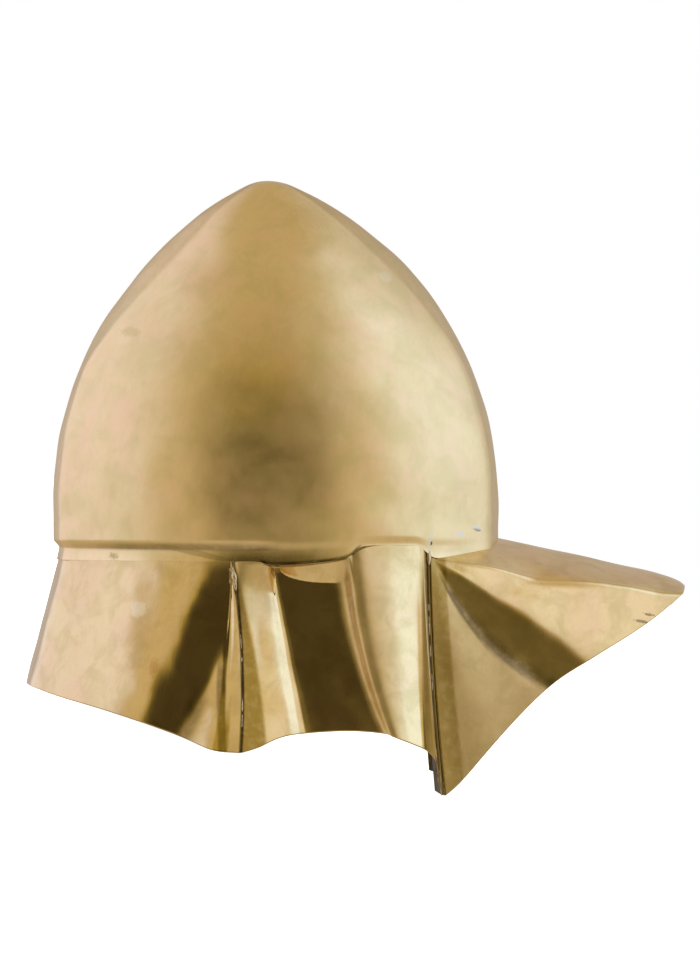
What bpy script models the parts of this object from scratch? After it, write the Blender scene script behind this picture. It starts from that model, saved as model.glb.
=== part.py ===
"""Boeotian helmet of polished sheet brass, resting on its pleats with the visor raised.

The shape is worked out in the worn frame, in millimetres: x runs forward from the middle of
the skull, y outward from the plane of symmetry and z up from the skull's foot. Every piece is
a grid of points on its outer face, thickened inward, and the finished helmet is turned nose up
by REST_TILT and set down with the middle of its base at the origin.
"""

import math
from typing import NamedTuple

import bmesh
import bpy
import numpy as np
from mathutils import Matrix, Vector

MM = 0.001

SHEET = 1.0  # thickness of the brass
GAP = 0.35  # clearance between neighbouring pieces
CROWN_GAP = 0.5  # the same between the skull's foot and the visor's crown
REST_TILT = math.radians(11.65)  # nose-up turn from the worn attitude to the resting one

# Skull: an ogive over a rounded-lens plan, with a raised band from brow to nape.
SKULL_HALF_LENGTH = 120.0
SKULL_HALF_WIDTH = 97.0
SKULL_TOP = 196.6
WAIST = 23.0  # height of the widest section
TIP_RADIUS_SIDE = 30.0  # rounding of the tip seen from the side
TIP_RADIUS_FRONT = 26.0  # rounding of the tip seen from the front
TIP_SHIFT = -3.5  # the tip leans back a little
BAND_HALF_WIDTH = 36.5
BAND_NARROWING = 1.43  # how soon the band narrows under the tip
SIDE_POWER = 2.2  # roundness of the sides in plan, 2 is a parabola
BAND_SHARE = 0.14  # share of the half turn taken by the band at each end
STEP_TURNS = (0.35, 0.36, 0.37)  # where the foot steps up above the ear panels

# Where the band's bulge grows, in heights, and its share of the half length.
BAND_BULGE_LOW = 0.046
BAND_BULGE_GAIN = 0.235
BULGE_FROM = 90.0
BULGE_TO_REAR = 175.0
BULGE_TO_FRONT = 188.0

GROOVE_RUN = 4.6  # height over which the groove is pressed in
LOW_LEVELS = (0.0, 3.2, 6.2, 8.4, 10.8, 16.0)  # rows over the foot, close at the groove
FOOT_FADE = 20.0  # height over which the rows level out above the foot
SOFFIT = 0.018  # share of an ear panel's lines over which its recess goes in
SOFFIT_DROP = 2.0  # how far the recess starts below the skull's edge, with room for its sheet
SOFFIT_ROOM = 2.5  # inset from which it lies that far below
FLANK_SOFFIT = 0.14  # the same for the flank behind the recess
ROWS_BETWEEN = (0.05, 0.09)  # rows of points between the two
FLANK_FOLDS = (2.3, 3.3)  # between which fold lines it changes

# Pleats: the line where two panels stand out from the head, from its start to its tip.
REAR_PLEAT_START = (-20.9, 93.5, -8.0)
REAR_PLEAT_TIP = (-16.3, 119.0, -105.5)
FRONT_PLEAT_START = (81.5, 66.5, -6.2)
FRONT_PLEAT_TIP = (88.3, 106.0, -128.8)
REAR_PLEAT_HALF = SHEET + GAP / 2
FRONT_PLEAT_HALF = 1.5 * SHEET + GAP
REAR_PLEAT_BOW = (2.5, -2.0, 0.0)  # how far the middle of the rear pleat lies off the straight
FRONT_PLEAT_BOW = (-1.5, 0.0, 0.0)
VISOR_EDGE_FROM = 0.05  # share of the front pleat above the visor's side
STRIP_DEPTH = 9.0  # width of the strip set into the front pleat
STRIP_LEAN = 1.8  # how far back its inner edge lies


class Foot(NamedTuple):
    """Skull's lower edge at a place along x, with the groove pressed in above it."""

    x: float
    z: float
    groove: float  # depth of the groove
    groove_z: float  # height of its deepest line
    back: float  # height under that line over which the surface comes out again


class Fold(NamedTuple):
    """One fold line of a panel: its start on the skull's foot and its end on the rim."""

    turn: float  # share of the way round the foot, 0 at the brow and 1 at the nape
    inset: float  # how far the start lies inside the skull's foot
    x: float
    y: float
    z: float
    bow: float = 0.0  # how far the middle of the line lies forward
    sag: float = 0.0  # how far it lies inward
    sharp: bool = False


class Station(NamedTuple):
    """One place along the visor's crease, with the middle line's height above it."""

    x: float
    y: float
    z: float
    middle_z: float


class Ray(NamedTuple):
    """One line of the visor's side, fanned out from the temple to the rim."""

    x: float
    y: float
    z: float
    swell: float = 0.0  # how far the middle of the line stands out
    droop: float = 0.0  # how far it lies back, and as far down


FOOT = (
    Foot(-121.0, -7.5, 3.0, -1.4, 16.0),
    Foot(-60.0, -7.5, 3.0, -1.4, 16.0),
    Foot(-21.0, -7.5, 2.0, -1.4, 16.0),
    Foot(-7.0, -7.7, 1.0, -1.4, 16.0),
    Foot(-1.5, -9.4, 0.6, -1.4, 16.0),
    Foot(5.0, -9.2, 0.3, -1.6, 16.0),
    Foot(39.0, -5.6, 0.3, -1.0, 10.0),
    Foot(42.0, -3.6, 0.6, 0.0, 8.0),
    Foot(45.5, 0.2, 1.0, 1.2, 7.0),
    Foot(60.0, 0.9, 1.3, 1.4, 7.0),
    Foot(76.0, 0.2, 0.8, 1.2, 7.0),
    Foot(81.0, -3.4, 0.4, 0.0, 8.0),
    Foot(84.0, -5.8, 0.4, 0.0, 10.0),
    Foot(121.0, 3.4, 0.0, 0.0, 10.0),
)

NECK_FOLDS = (
    Fold(1.000, 0.0, -135.5, 0.0, -73.8),
    Fold(0.860, 0.0, -130.4, 36.0, -74.4, sharp=True),
    Fold(0.790, 0.0, -114.0, 61.0, -78.8),
    Fold(0.705, 0.0, -91.0, 83.5, -84.2),
    Fold(0.632, 0.0, -71.5, 97.0, -89.8),
    Fold(0.606, 0.0, -60.0, 100.4, -93.6),
    Fold(0.571, 0.0, -47.0, 103.4, -98.2, 7.0),
    Fold(0.5705, 0.0, -31.0, 115.2, -104.4, 2.8, 4.6),
    Fold(0.570, 0.0, -24.6, 115.6, -105.2, 3.1, 2.8),
)

EAR_FOLDS = (
    Fold(0.558, 1.5, -7.0, 113.8, -103.0, 1.5, 1.5),
    Fold(0.536, 5.5, 1.2, 109.2, -100.2, 0.0, 1.2),
    Fold(0.516, 9.5, 9.6, 104.6, -97.8, 0.0, 1.0),
    Fold(0.499, 12.5, 17.8, 99.8, -97.1, 0.0, 1.0),
    Fold(0.455, 12.5, 38.0, 98.8, -95.2),
    Fold(0.384, 9.0, 57.0, 98.0, -96.6, -4.0),
    Fold(0.370, 0.0, 62.0, 102.2, -98.2, -4.0),
    Fold(0.346, 0.0, 66.4, 101.4, -99.6, -3.0),
    Fold(0.308, 0.0, 71.4, 98.2, -101.6, -1.5),
    Fold(0.262, 0.0, 78.4, 94.0, -104.8, -1.0),
    Fold(0.256, 0.0, 81.0, 95.6, -106.8, -1.3),
    Fold(0.254, 0.0, 83.2, 98.2, -109.2, -1.5),
    Fold(0.253, 0.0, 84.8, 100.8, -112.2, -1.5),
    Fold(0.252, 0.0, 86.1, 103.6, -117.0, -1.5),
)

VISOR_STATIONS = (
    Station(84.0, 64.5, -6.2, 11.6),
    Station(112.6, 58.5, -10.3, 5.5),
    Station(141.7, 51.5, -17.0, -0.8),
    Station(163.7, 45.8, -18.3, -5.4),
    Station(186.0, 39.8, -21.1, -10.6),
    Station(208.0, 33.2, -25.1, -15.6),
    Station(217.6, 29.6, -25.3, -19.2),
    Station(220.4, 29.6, -25.7, -21.3),
)
VISOR_FRONT_X = 220.4
VISOR_CROWN_POWER = 1.6

VISOR_RAYS = (
    Ray(217.6, 29.6, -25.3),
    Ray(207.2, 38.2, -34.2, 0.5),
    Ray(191.0, 49.2, -45.2),
    Ray(175.0, 59.0, -54.2),
    Ray(164.5, 65.2, -60.6),
    Ray(148.4, 68.6, -70.2, 2.6, 7.0),
    Ray(131.0, 78.0, -85.6, 2.6, 5.5),
    Ray(110.6, 91.4, -107.4, 1.2, 2.5),
    Ray(96.8, 99.4, -123.0, 0.4, 0.8),
)


def smoothstep(low, high, values):
    """Ease from 0 at low to 1 at high."""
    share = np.clip((np.asarray(values, float) - low) / (high - low), 0.0, 1.0)
    return share * share * (3.0 - 2.0 * share)


def monotone(knots, values, at):
    """Interpolate rows of values smoothly through knots, with no overshoot.

    The slope at an inner knot is the weighted harmonic mean of the slopes beside it, or zero
    where they differ in sign, and each interval is the cubic with those end slopes.
    """
    knots, values, at = (np.asarray(a, float) for a in (knots, values, at))
    values = values.reshape(len(knots), -1)
    step = np.diff(knots)[:, None]
    slope = np.diff(values, axis=0) / step
    tangent = np.vstack([slope[:1], np.zeros_like(slope[1:]), slope[-1:]])
    before, after = slope[:-1], slope[1:]
    weight_b, weight_a = 2 * step[1:] + step[:-1], step[1:] + 2 * step[:-1]
    same = before * after > 0
    safe_b, safe_a = np.where(same, before, 1.0), np.where(same, after, 1.0)
    mean = (weight_b + weight_a) / (weight_b / safe_b + weight_a / safe_a)
    tangent[1:-1] = np.where(same, mean, 0.0)
    index = np.clip(np.searchsorted(knots, at, side="right") - 1, 0, len(step) - 1)
    width = step[index]
    s = (at - knots[index])[:, None] / width
    s2, s3 = s * s, s * s * s
    return (
        (2 * s3 - 3 * s2 + 1) * values[index]
        + (s3 - 2 * s2 + s) * width * tangent[index]
        + (3 * s2 - 2 * s3) * values[index + 1]
        + (s3 - s2) * width * tangent[index + 1]
    )


def column(rows, *names):
    """The named columns of a table as an array, a row for each row of the table."""
    return np.array([[getattr(row, name) for name in names] for row in rows], float)


def lerp(start, end, share):
    """Points on the straight line from start to end."""
    return start + (end - start) * share


# ---------------------------------------------------------------- skull


def ogive(z, half_width, tip_radius):
    """Half width of an ogive at height z.

    A circle stands upright at the waist and leans in, and a tip circle of tip_radius touches
    it and reaches SKULL_TOP.
    """
    height = SKULL_TOP - WAIST - tip_radius
    inner = half_width - tip_radius
    offset = (height**2 - inner**2) / (2 * inner)
    radius = half_width + offset
    touch = radius * height / (radius - tip_radius)
    rise = np.asarray(z, float) - WAIST
    arc = np.sqrt(radius**2 - np.clip(rise, 0.0, touch) ** 2) - offset
    cap = np.sqrt(np.clip(tip_radius**2 - (rise - height) ** 2, 0.0, None))
    return np.where(rise < touch, arc, cap)


def skull_sizes(z):
    """Half length, half width, half band width and the band's bulge fore and aft, at z."""
    length = ogive(z, SKULL_HALF_LENGTH, TIP_RADIUS_SIDE)
    width = ogive(z, SKULL_HALF_WIDTH, TIP_RADIUS_FRONT)
    band = BAND_HALF_WIDTH * np.tanh(width / (BAND_NARROWING * BAND_HALF_WIDTH))
    fore, aft = (
        length * (BAND_BULGE_LOW + BAND_BULGE_GAIN * smoothstep(BULGE_FROM, top, z))
        for top in (BULGE_TO_FRONT, BULGE_TO_REAR)
    )
    return length, width, band, fore, aft


def skull_section(turn, z, inset=0.0):
    """Points of the skull's outer face at the given turn and height.

    Args:
        turn: share of the half turn from the brow, 0, to the nape, 1.
        z: height of each point.
        inset: distance inward, square to the section.

    Returns:
        An array of points, its last axis holding x, y and z.
    """
    turn, z = np.broadcast_arrays(np.asarray(turn, float), np.asarray(z, float))
    length, width, band, fore, aft = skull_sizes(z)
    front, rear = turn < BAND_SHARE, turn > 1.0 - BAND_SHARE
    across = np.where(front, turn, 1.0 - turn) / BAND_SHARE
    sign = np.where(turn < 0.5, 1.0, -1.0)
    bulge = np.where(turn < 0.5, fore, aft)
    along = 1.0 - 2.0 * (turn - BAND_SHARE) / (1.0 - 2.0 * BAND_SHARE)
    along = np.clip(along, -1.0, 1.0)
    reach = length - bulge
    on_band = front | rear
    x = np.where(on_band, sign * (length - bulge * across**2), along * reach)
    y = np.where(on_band, band * across, band + (width - band) * (1.0 - np.abs(along) ** SIDE_POWER))
    lean = SIDE_POWER * (width - band) / np.maximum(reach, 1.0) * np.abs(along) ** (SIDE_POWER - 1.0)
    normal_x = np.where(on_band, sign, np.sign(along) * lean)
    normal_y = np.where(on_band, 2.0 * bulge * across / np.maximum(band, 1.0), 1.0)
    size = np.hypot(normal_x, normal_y)
    x = x - inset * normal_x / size + TIP_SHIFT * smoothstep(150.0, SKULL_TOP, z)
    y = y - inset * normal_y / size
    return np.stack([x, y, z], axis=-1)


def visor_top(x, y):
    """Height of the visor's upper face: its crease rises to the middle line as a crown."""
    rows = column(VISOR_STATIONS, "x", "y", "z", "middle_z")
    edge, low, high = monotone(rows[:, 0], rows[:, 1:], np.clip(x, rows[0, 0], VISOR_FRONT_X)).T
    return low + (high - low) * (1.0 - np.clip(y / edge, 0.0, 1.0) ** VISOR_CROWN_POWER)


def foot_line(turn):
    """Height of the lower edge, then the groove's depth, height and way out, for each turn."""
    plan = skull_section(turn, np.zeros_like(turn))
    rows = column(FOOT, "x", "z", "groove", "groove_z", "back")
    line = monotone(rows[:, 0], rows[:, 1:], plan[:, 0]).T
    over_visor = plan[:, 0] > VISOR_STATIONS[0].x
    line[0] = np.where(over_visor, visor_top(plan[:, 0], plan[:, 1]) + CROWN_GAP, line[0])
    return line


def skull_face(turn, z, inset=0.0):
    """Skull's outer face with the groove above its foot, for a grid of heights by turns.

    The groove's depth eases in from GROOVE_RUN above its deepest line and is lost again over
    the height that the foot's table gives.
    """
    _, groove, groove_z, back = foot_line(turn)
    below = np.clip((groove_z - z) / back, 0.0, 1.0)
    depth = groove * (1.0 - smoothstep(0.0, GROOVE_RUN, z - groove_z)) * (1.0 - below)
    return skull_section(np.broadcast_to(turn, z.shape), z, depth + inset)


def foot_points(turn, drop=0.0, inset=0.0):
    """Points below the skull's lower edge, where a panel starts."""
    z = foot_line(turn)[0] - drop
    return skull_face(turn, z, inset)


def skull_grid():
    """Rows from the foot to the tip, columns from the brow to the nape."""
    turn = np.unique(np.concatenate([
        np.linspace(0.0, BAND_SHARE, 5)[:-1],
        np.linspace(BAND_SHARE, 1.0 - BAND_SHARE, 19)[:-1],
        np.linspace(1.0 - BAND_SHARE, 1.0, 5),
        STEP_TURNS,
    ]))
    rise = SKULL_TOP - WAIST
    high = WAIST + rise * np.sin(np.linspace(0.0, math.pi / 2, 14))
    levels = np.concatenate([LOW_LEVELS, high])[:, None]
    foot = foot_line(turn)[0]
    z = levels + foot * (1.0 - smoothstep(0.0, FOOT_FADE, levels))
    return skull_face(turn, z)


# ---------------------------------------------------------------- panels


def spread(values, pieces):
    """Knots and the places between them, with the same number of pieces in each interval."""
    knots = np.arange(len(values), dtype=float)
    return knots, np.linspace(0.0, knots[-1], (len(values) - 1) * pieces + 1)


def loft(starts, ends, bows, pieces, rows):
    """Grid of straight or gently bowed lines from starts to ends, smooth across the lines.

    Args:
        starts: where the lines start.
        ends: where they end.
        bows: how far their middles lie off the straight.
        pieces: how many columns each interval between lines is cut into.
        rows: shares from start to end.

    Returns:
        The grid of points.
    """
    knots, at = spread(starts, pieces)
    smooth = monotone(knots, np.hstack([starts, ends, bows]), at)
    start, end, bow = smooth[:, :3], smooth[:, 3:6], smooth[:, 6:]
    share = rows[:, None, None]
    return lerp(start, end, share) + 4.0 * share * (1.0 - share) * bow


def fold_lines(folds):
    """Starts, ends and bows of a panel's fold lines.

    A line that starts inside the skull's foot leaves room for the sheet above it.
    """
    turn, inset = column(folds, "turn", "inset").T
    drop = lerp(GAP, SOFFIT_DROP, np.clip(inset / SOFFIT_ROOM, 0.0, 1.0))
    starts = foot_points(turn, drop, inset)
    ends = column(folds, "x", "y", "z")
    bows = np.zeros_like(ends)
    bows[:, :2] = column(folds, "bow", "sag") * np.array([1.0, -1.0])
    return starts, ends, bows


def pleat_line(start, tip, forward, bow, first=0.0):
    """Start, end and bow of a panel's edge beside a pleat, moved forward by a distance."""
    shift = np.array([forward, 0.0, 0.0])
    start, tip = np.array([start]) + shift, np.array([tip]) + shift
    return lerp(start, tip, first), tip, np.array([bow])


def joined(*lines):
    """Several sets of starts, ends and bows as one."""
    return tuple(np.vstack(parts) for parts in zip(*lines))


def neck_guard_grid():
    """Half of the neck guard, from the nape to the rear pleat, creased beside the band."""
    edge = pleat_line(REAR_PLEAT_START, REAR_PLEAT_TIP, -REAR_PLEAT_HALF, REAR_PLEAT_BOW)
    starts, ends, bows = joined(fold_lines(NECK_FOLDS), edge)
    crease = next(i for i, fold in enumerate(NECK_FOLDS) if fold.sharp)
    rows = np.linspace(0.0, 1.0, 8)
    band = loft(starts[: crease + 1], ends[: crease + 1], bows[: crease + 1], 4, rows)
    side = loft(starts[crease:], ends[crease:], bows[crease:], 3, rows)
    return np.concatenate([band[:, :-1], side], axis=1)


def ear_panel_grid():
    """An ear panel, from the rear pleat to the front one.

    It starts under the skull's edge itself and goes in from there to its recess.
    """
    rear = pleat_line(REAR_PLEAT_START, REAR_PLEAT_TIP, REAR_PLEAT_HALF, REAR_PLEAT_BOW)
    front = pleat_line(FRONT_PLEAT_START, FRONT_PLEAT_TIP, -FRONT_PLEAT_HALF, FRONT_PLEAT_BOW)
    starts, ends, bows = joined(rear, fold_lines(EAR_FOLDS), front)
    rows = np.concatenate([[0.0, SOFFIT], ROWS_BETWEEN, np.linspace(FLANK_SOFFIT, 1.0, 7)])
    grid = loft(starts, ends, bows, 2, rows)
    insets = np.concatenate([[0.0], column(EAR_FOLDS, "inset")[:, 0], [0.0]])
    knots, at = spread(insets, 2)
    inset = monotone(knots, insets, at)[:, 0]
    run = lerp(FLANK_SOFFIT, SOFFIT, smoothstep(*FLANK_FOLDS, at))
    share = rows[:, None]
    grid[..., 1] += inset * (1.0 - smoothstep(0.0, 1.0, share / run)) * (1.0 - share)
    return grid


def visor_grid():
    """Half of the visor: rows run outward, columns from the middle line round to the pleat."""
    share = np.linspace(0.0, 1.0, 12)
    stations = column(VISOR_STATIONS[:-1], "x", "y", "z")
    knots = np.arange(len(stations), dtype=float)
    crease = monotone(knots, stations, share * knots[-1])

    temple_turn = foot_turn(VISOR_STATIONS[0].x)
    across = np.linspace(0.0, 1.0, 9)
    back = skull_section(across * temple_turn, np.zeros_like(across), SHEET)[:, :2]
    front_y = across * stations[-1, 1]
    front_x = VISOR_FRONT_X - (VISOR_FRONT_X - stations[-1, 0]) * across**2
    front = np.stack([front_x, front_y], axis=-1)
    plan = lerp(back, front, share[:, None, None])
    straight = lerp(back[-1], front[-1], share[:, None])
    plan = plan + (crease[:, None, :2] - straight[:, None]) * across[:, None]
    flat = plan.reshape(-1, 2)
    height = visor_top(flat[:, 0], flat[:, 1]).reshape(plan.shape[:2])
    top = np.concatenate([plan, height[..., None]], axis=-1)
    top[:, -1] = crease

    rims = column(VISOR_RAYS, "x", "y", "z")
    edge = pleat_line(FRONT_PLEAT_START, FRONT_PLEAT_TIP, FRONT_PLEAT_HALF, FRONT_PLEAT_BOW, VISOR_EDGE_FROM)
    fan = np.linspace(0.0, 1.0, len(rims) + 1)[:-1, None]
    starts = lerp(crease[0], edge[0][0], fan)
    swells = column(VISOR_RAYS, "droop", "swell", "droop") * np.array([-1.0, 1.0, -1.0])
    side = loft(*joined((starts, rims, swells), edge), 2, share)
    fade = (1.0 - np.linspace(0.0, 1.0, side.shape[1])) ** 2
    side = side + (crease - side[:, 0])[:, None] * fade[:, None]
    return np.concatenate([top, side[:, 1:]], axis=1)


def foot_turn(x):
    """Turn at which the skull's foot reaches x."""
    turns = np.linspace(BAND_SHARE, 1.0 - BAND_SHARE, 200)
    reached = skull_section(turns, np.zeros_like(turns))[:, 0]
    return float(np.interp(-x, -reached, turns))


def seam_strip_grid():
    """The narrow strip set into a front pleat, between the ear panel and the visor."""
    start, tip, bow = pleat_line(FRONT_PLEAT_START, FRONT_PLEAT_TIP, -SHEET / 2, FRONT_PLEAT_BOW)
    outer_share, inner_share = np.array([0.16, 0.985]), np.array([0.22, 0.955])
    inward = np.array([-STRIP_LEAN, -STRIP_DEPTH, 0.0])
    rows = np.linspace(0.0, 1.0, 9)[:, None]
    columns = []
    for depth, (first, last) in ((0.0, outer_share), (1.0, inner_share)):
        share = lerp(first, last, rows)
        line = lerp(start, tip, share) + 4.0 * share * (1.0 - share) * bow
        columns.append(line + depth * inward * np.clip(2.0 * share, 0.0, 1.0))
    middle = (columns[0] + columns[1]) / 2
    return np.stack([columns[0], middle, columns[1]], axis=1)


# ---------------------------------------------------------------- objects


def brass(name, colour, roughness):
    """A Principled material of polished brass."""
    material = bpy.data.materials.new(name)
    material.use_nodes = True
    shader = material.node_tree.nodes["Principled BSDF"]
    shader.inputs["Base Color"].default_value = (*colour, 1.0)
    shader.inputs["Metallic"].default_value = 1.0
    shader.inputs["Roughness"].default_value = roughness
    return material


def sheet(name, grid, collection, material, flip=False, mirror=False):
    """Make an object from the grid of its outer face, mirrored if asked, and thickened."""
    rows, columns = grid.shape[:2]
    mesh = bpy.data.meshes.new(name)
    shell = bmesh.new()
    verts = [shell.verts.new(Vector(point) * MM) for point in grid.reshape(-1, 3)]
    for row in range(rows - 1):
        for col in range(columns - 1):
            corner = row * columns + col
            ring = [verts[corner], verts[corner + 1], verts[corner + columns + 1], verts[corner + columns]]
            shell.faces.new(ring[::-1] if flip else ring)
    bmesh.ops.remove_doubles(shell, verts=shell.verts, dist=0.00005)
    bmesh.ops.dissolve_degenerate(shell, edges=shell.edges, dist=0.00001)
    shell.to_mesh(mesh)
    shell.free()
    mesh.materials.append(material)
    mesh.shade_smooth()
    mesh.set_sharp_from_angle(angle=math.radians(25.0))
    thing = bpy.data.objects.new(name, mesh)
    collection.objects.link(thing)
    if mirror:
        mirrored = thing.modifiers.new("both sides", "MIRROR")
        mirrored.use_axis = (False, True, False)
        mirrored.merge_threshold = 0.0001
    wall = thing.modifiers.new("sheet brass", "SOLIDIFY")
    wall.thickness = SHEET * MM
    wall.offset = -1.0
    return thing


def set_down(things):
    """Turn the helmet nose up and put the middle of its base at the origin."""
    turn = Matrix.Rotation(-REST_TILT, 4, "Y")
    for thing in things:
        thing.matrix_world = turn
    bpy.context.view_layer.update()
    depsgraph = bpy.context.evaluated_depsgraph_get()
    corners = []
    for thing in things:
        solid = thing.evaluated_get(depsgraph).to_mesh()
        corners.extend(turn @ vertex.co for vertex in solid.vertices)
    points = np.array(corners)
    low, high = points.min(axis=0), points.max(axis=0)
    shift = Matrix.Translation((-(low[0] + high[0]) / 2, -(low[1] + high[1]) / 2, -low[2]))
    for thing in things:
        thing.matrix_world = shift @ turn


def main():
    """Build the helmet."""
    for old in list(bpy.data.objects):
        bpy.data.objects.remove(old)
    helmet = bpy.data.collections.new("boeotian_helmet")
    bpy.context.scene.collection.children.link(helmet)

    satin = brass("satin_brass", (0.72, 0.53, 0.26), 0.32)
    bright = brass("bright_brass", (0.74, 0.54, 0.25), 0.18)
    dull = brass("dull_brass", (0.36, 0.26, 0.13), 0.45)

    ear, strip = ear_panel_grid(), seam_strip_grid()
    other_side = np.array([1.0, -1.0, 1.0])
    set_down([
        sheet("skull", skull_grid(), helmet, satin, mirror=True),
        sheet("neck_guard", neck_guard_grid(), helmet, bright, mirror=True),
        sheet("visor", visor_grid(), helmet, bright, flip=True, mirror=True),
        sheet("ear_panel_left", ear, helmet, bright),
        sheet("ear_panel_right", ear * other_side, helmet, bright, flip=True),
        sheet("seam_strip_left", strip, helmet, dull, flip=True),
        sheet("seam_strip_right", strip * other_side, helmet, dull),
    ])


if __name__ == "__main__":
    main()
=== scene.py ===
"""Dressed model of a Boeotian helmet: hammered and polished sheet brass in a light tent.

Every form is worked out in the worn frame, in millimetres: x runs forward from the middle of the
skull, y outward from the plane of symmetry and z up from the skull's foot. Each piece of sheet is
an outer face on a grid of two parameters, given its thickness and a rounded rim. RestPose turns
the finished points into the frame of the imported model, where the helmet rests on its pleats.
"""

from __future__ import annotations

import logging
import math
from collections.abc import Sequence
from dataclasses import dataclass, field
from enum import Enum
from typing import NamedTuple

import bpy
import numpy as np
from mathutils import Matrix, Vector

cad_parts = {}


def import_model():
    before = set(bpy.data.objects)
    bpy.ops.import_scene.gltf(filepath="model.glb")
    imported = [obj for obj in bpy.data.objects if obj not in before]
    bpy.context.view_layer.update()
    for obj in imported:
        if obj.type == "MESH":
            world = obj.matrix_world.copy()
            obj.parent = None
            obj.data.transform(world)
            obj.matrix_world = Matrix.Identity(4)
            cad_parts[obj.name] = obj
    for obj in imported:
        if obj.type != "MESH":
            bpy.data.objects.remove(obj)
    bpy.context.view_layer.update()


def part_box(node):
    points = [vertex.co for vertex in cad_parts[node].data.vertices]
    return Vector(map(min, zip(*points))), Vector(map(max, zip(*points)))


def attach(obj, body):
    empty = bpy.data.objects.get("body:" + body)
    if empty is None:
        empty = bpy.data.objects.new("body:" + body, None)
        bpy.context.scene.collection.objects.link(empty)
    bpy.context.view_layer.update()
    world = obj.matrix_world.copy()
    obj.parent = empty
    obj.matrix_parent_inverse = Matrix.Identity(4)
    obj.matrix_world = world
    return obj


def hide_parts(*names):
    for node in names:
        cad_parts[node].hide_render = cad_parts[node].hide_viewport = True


LOG = logging.getLogger("helmet")
MM = 0.001

SHEET = 1.0  # thickness of the brass
STRIP = 1.6  # thickness of the strip in a front pleat
REST_TILT = math.radians(11.65)  # nose-up turn from the worn attitude to the resting one
RIM_ROUND = 0.3  # how far the rounded edge of a sheet stands out
JOINT = 0.04  # width of the shaded edge where two pieces meet smoothly
STRIP_ROUND = 1.2  # half the width over which a strip of painted shade fades
SEAM_DARKENING = (0.5, 1.5)  # distances from a pleat's line over which the darkening in its seam fades: partly painted shade, partly dirt
RIM_SHADE = 0.7  # how brown the rims are
TOP_SATIN = 0.45  # how satin the brim is right under the skull
TOP_HEIGHTS = (-16.0, -7.0)  # and the heights over which that comes in
FINE_DENTS = 0.1  # depth of the finer hammer marks beside the broad ones

Point = tuple[float, float, float]
Span = tuple[float, float]  # where something eases in or out, or goes from and to
Masks = dict[str, np.ndarray]  # values for each point, by name


class Side(Enum):
    """A side of the helmet, and the sign of its y."""

    LEFT = 1.0
    RIGHT = -1.0

    @property
    def flip(self) -> np.ndarray:
        """What points worked out for the left side are multiplied by."""
        return np.array([1.0, self.value, 1.0])


# ---------------------------------------------------------------- surface arithmetic


def smoothstep(low: float, high: float, values: np.ndarray) -> np.ndarray:
    """Ease from 0 at low to 1 at high: 3s² - 2s³ of the clipped share s."""
    share = np.clip((np.asarray(values, float) - low) / (high - low), 0.0, 1.0)
    return share * share * (3.0 - 2.0 * share)


def fading(low: float, high: float, values: np.ndarray) -> np.ndarray:
    """Ease from 1 at low to 0 at high."""
    return 1.0 - smoothstep(low, high, values)


def between(values: np.ndarray, rise: Span, fall: Span) -> np.ndarray:
    """Ease from 0 to 1 over the rise, and back to 0 over the fall."""
    return smoothstep(*rise, values) * fading(*fall, values)


def raise_mask(masks: Masks, title: str, *layers: np.ndarray | float) -> None:
    """Raise a mask to each of the layers where the layer is higher."""
    for layer in layers:
        masks[title] = np.maximum(masks[title], layer)


def lerp(start: np.ndarray, end: np.ndarray, share: np.ndarray) -> np.ndarray:
    """Points on the straight line from start to end."""
    return start + (end - start) * share


def bowed(start: np.ndarray, end: np.ndarray, bow: np.ndarray, share: np.ndarray) -> np.ndarray:
    """Points on a line that is moved by the bow at its middle: a parabola."""
    return lerp(start, end, share) + 4.0 * share * (1.0 - share) * bow


def unit(vectors: np.ndarray) -> np.ndarray:
    """Vectors scaled to length 1 along their last axis."""
    return vectors / np.maximum(np.linalg.norm(vectors, axis=-1, keepdims=True), 1e-9)


def monotone(knots: np.ndarray, values: np.ndarray, at: np.ndarray) -> np.ndarray:
    """Interpolate rows of values smoothly through knots, with no overshoot.

    The slope at an inner knot is the weighted harmonic mean of the slopes beside it, or zero
    where they differ in sign, and each interval is the cubic with those end slopes.

    Args:
        knots: rising parameters, one for each row of values.
        values: a row for each knot.
        at: the parameters wanted.

    Returns:
        A row for each wanted parameter.
    """
    knots, values, at = (np.asarray(a, float) for a in (knots, values, at))
    values = values.reshape(len(knots), -1)
    step = np.diff(knots)[:, None]
    slope = np.diff(values, axis=0) / step
    tangent = np.vstack([slope[:1], np.zeros_like(slope[1:]), slope[-1:]])
    before, after = slope[:-1], slope[1:]
    weight_b, weight_a = 2 * step[1:] + step[:-1], step[1:] + 2 * step[:-1]
    same = before * after > 0
    safe_b, safe_a = np.where(same, before, 1.0), np.where(same, after, 1.0)
    mean = (weight_b + weight_a) / (weight_b / safe_b + weight_a / safe_a)
    tangent[1:-1] = np.where(same, mean, 0.0)
    index = np.clip(np.searchsorted(knots, at, side="right") - 1, 0, len(step) - 1)
    width = step[index]
    s = (at - knots[index])[:, None] / width
    s2, s3 = s * s, s * s * s
    return (
        (2 * s3 - 3 * s2 + 1) * values[index]
        + (s3 - 2 * s2 + s) * width * tangent[index]
        + (3 * s2 - 2 * s3) * values[index + 1]
        + (s3 - s2) * width * tangent[index + 1]
    )


def column(rows: Sequence[NamedTuple], *names: str) -> np.ndarray:
    """The named columns of a table as an array, a row for each row of the table."""
    return np.array([[getattr(row, name) for name in names] for row in rows], float)


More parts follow.
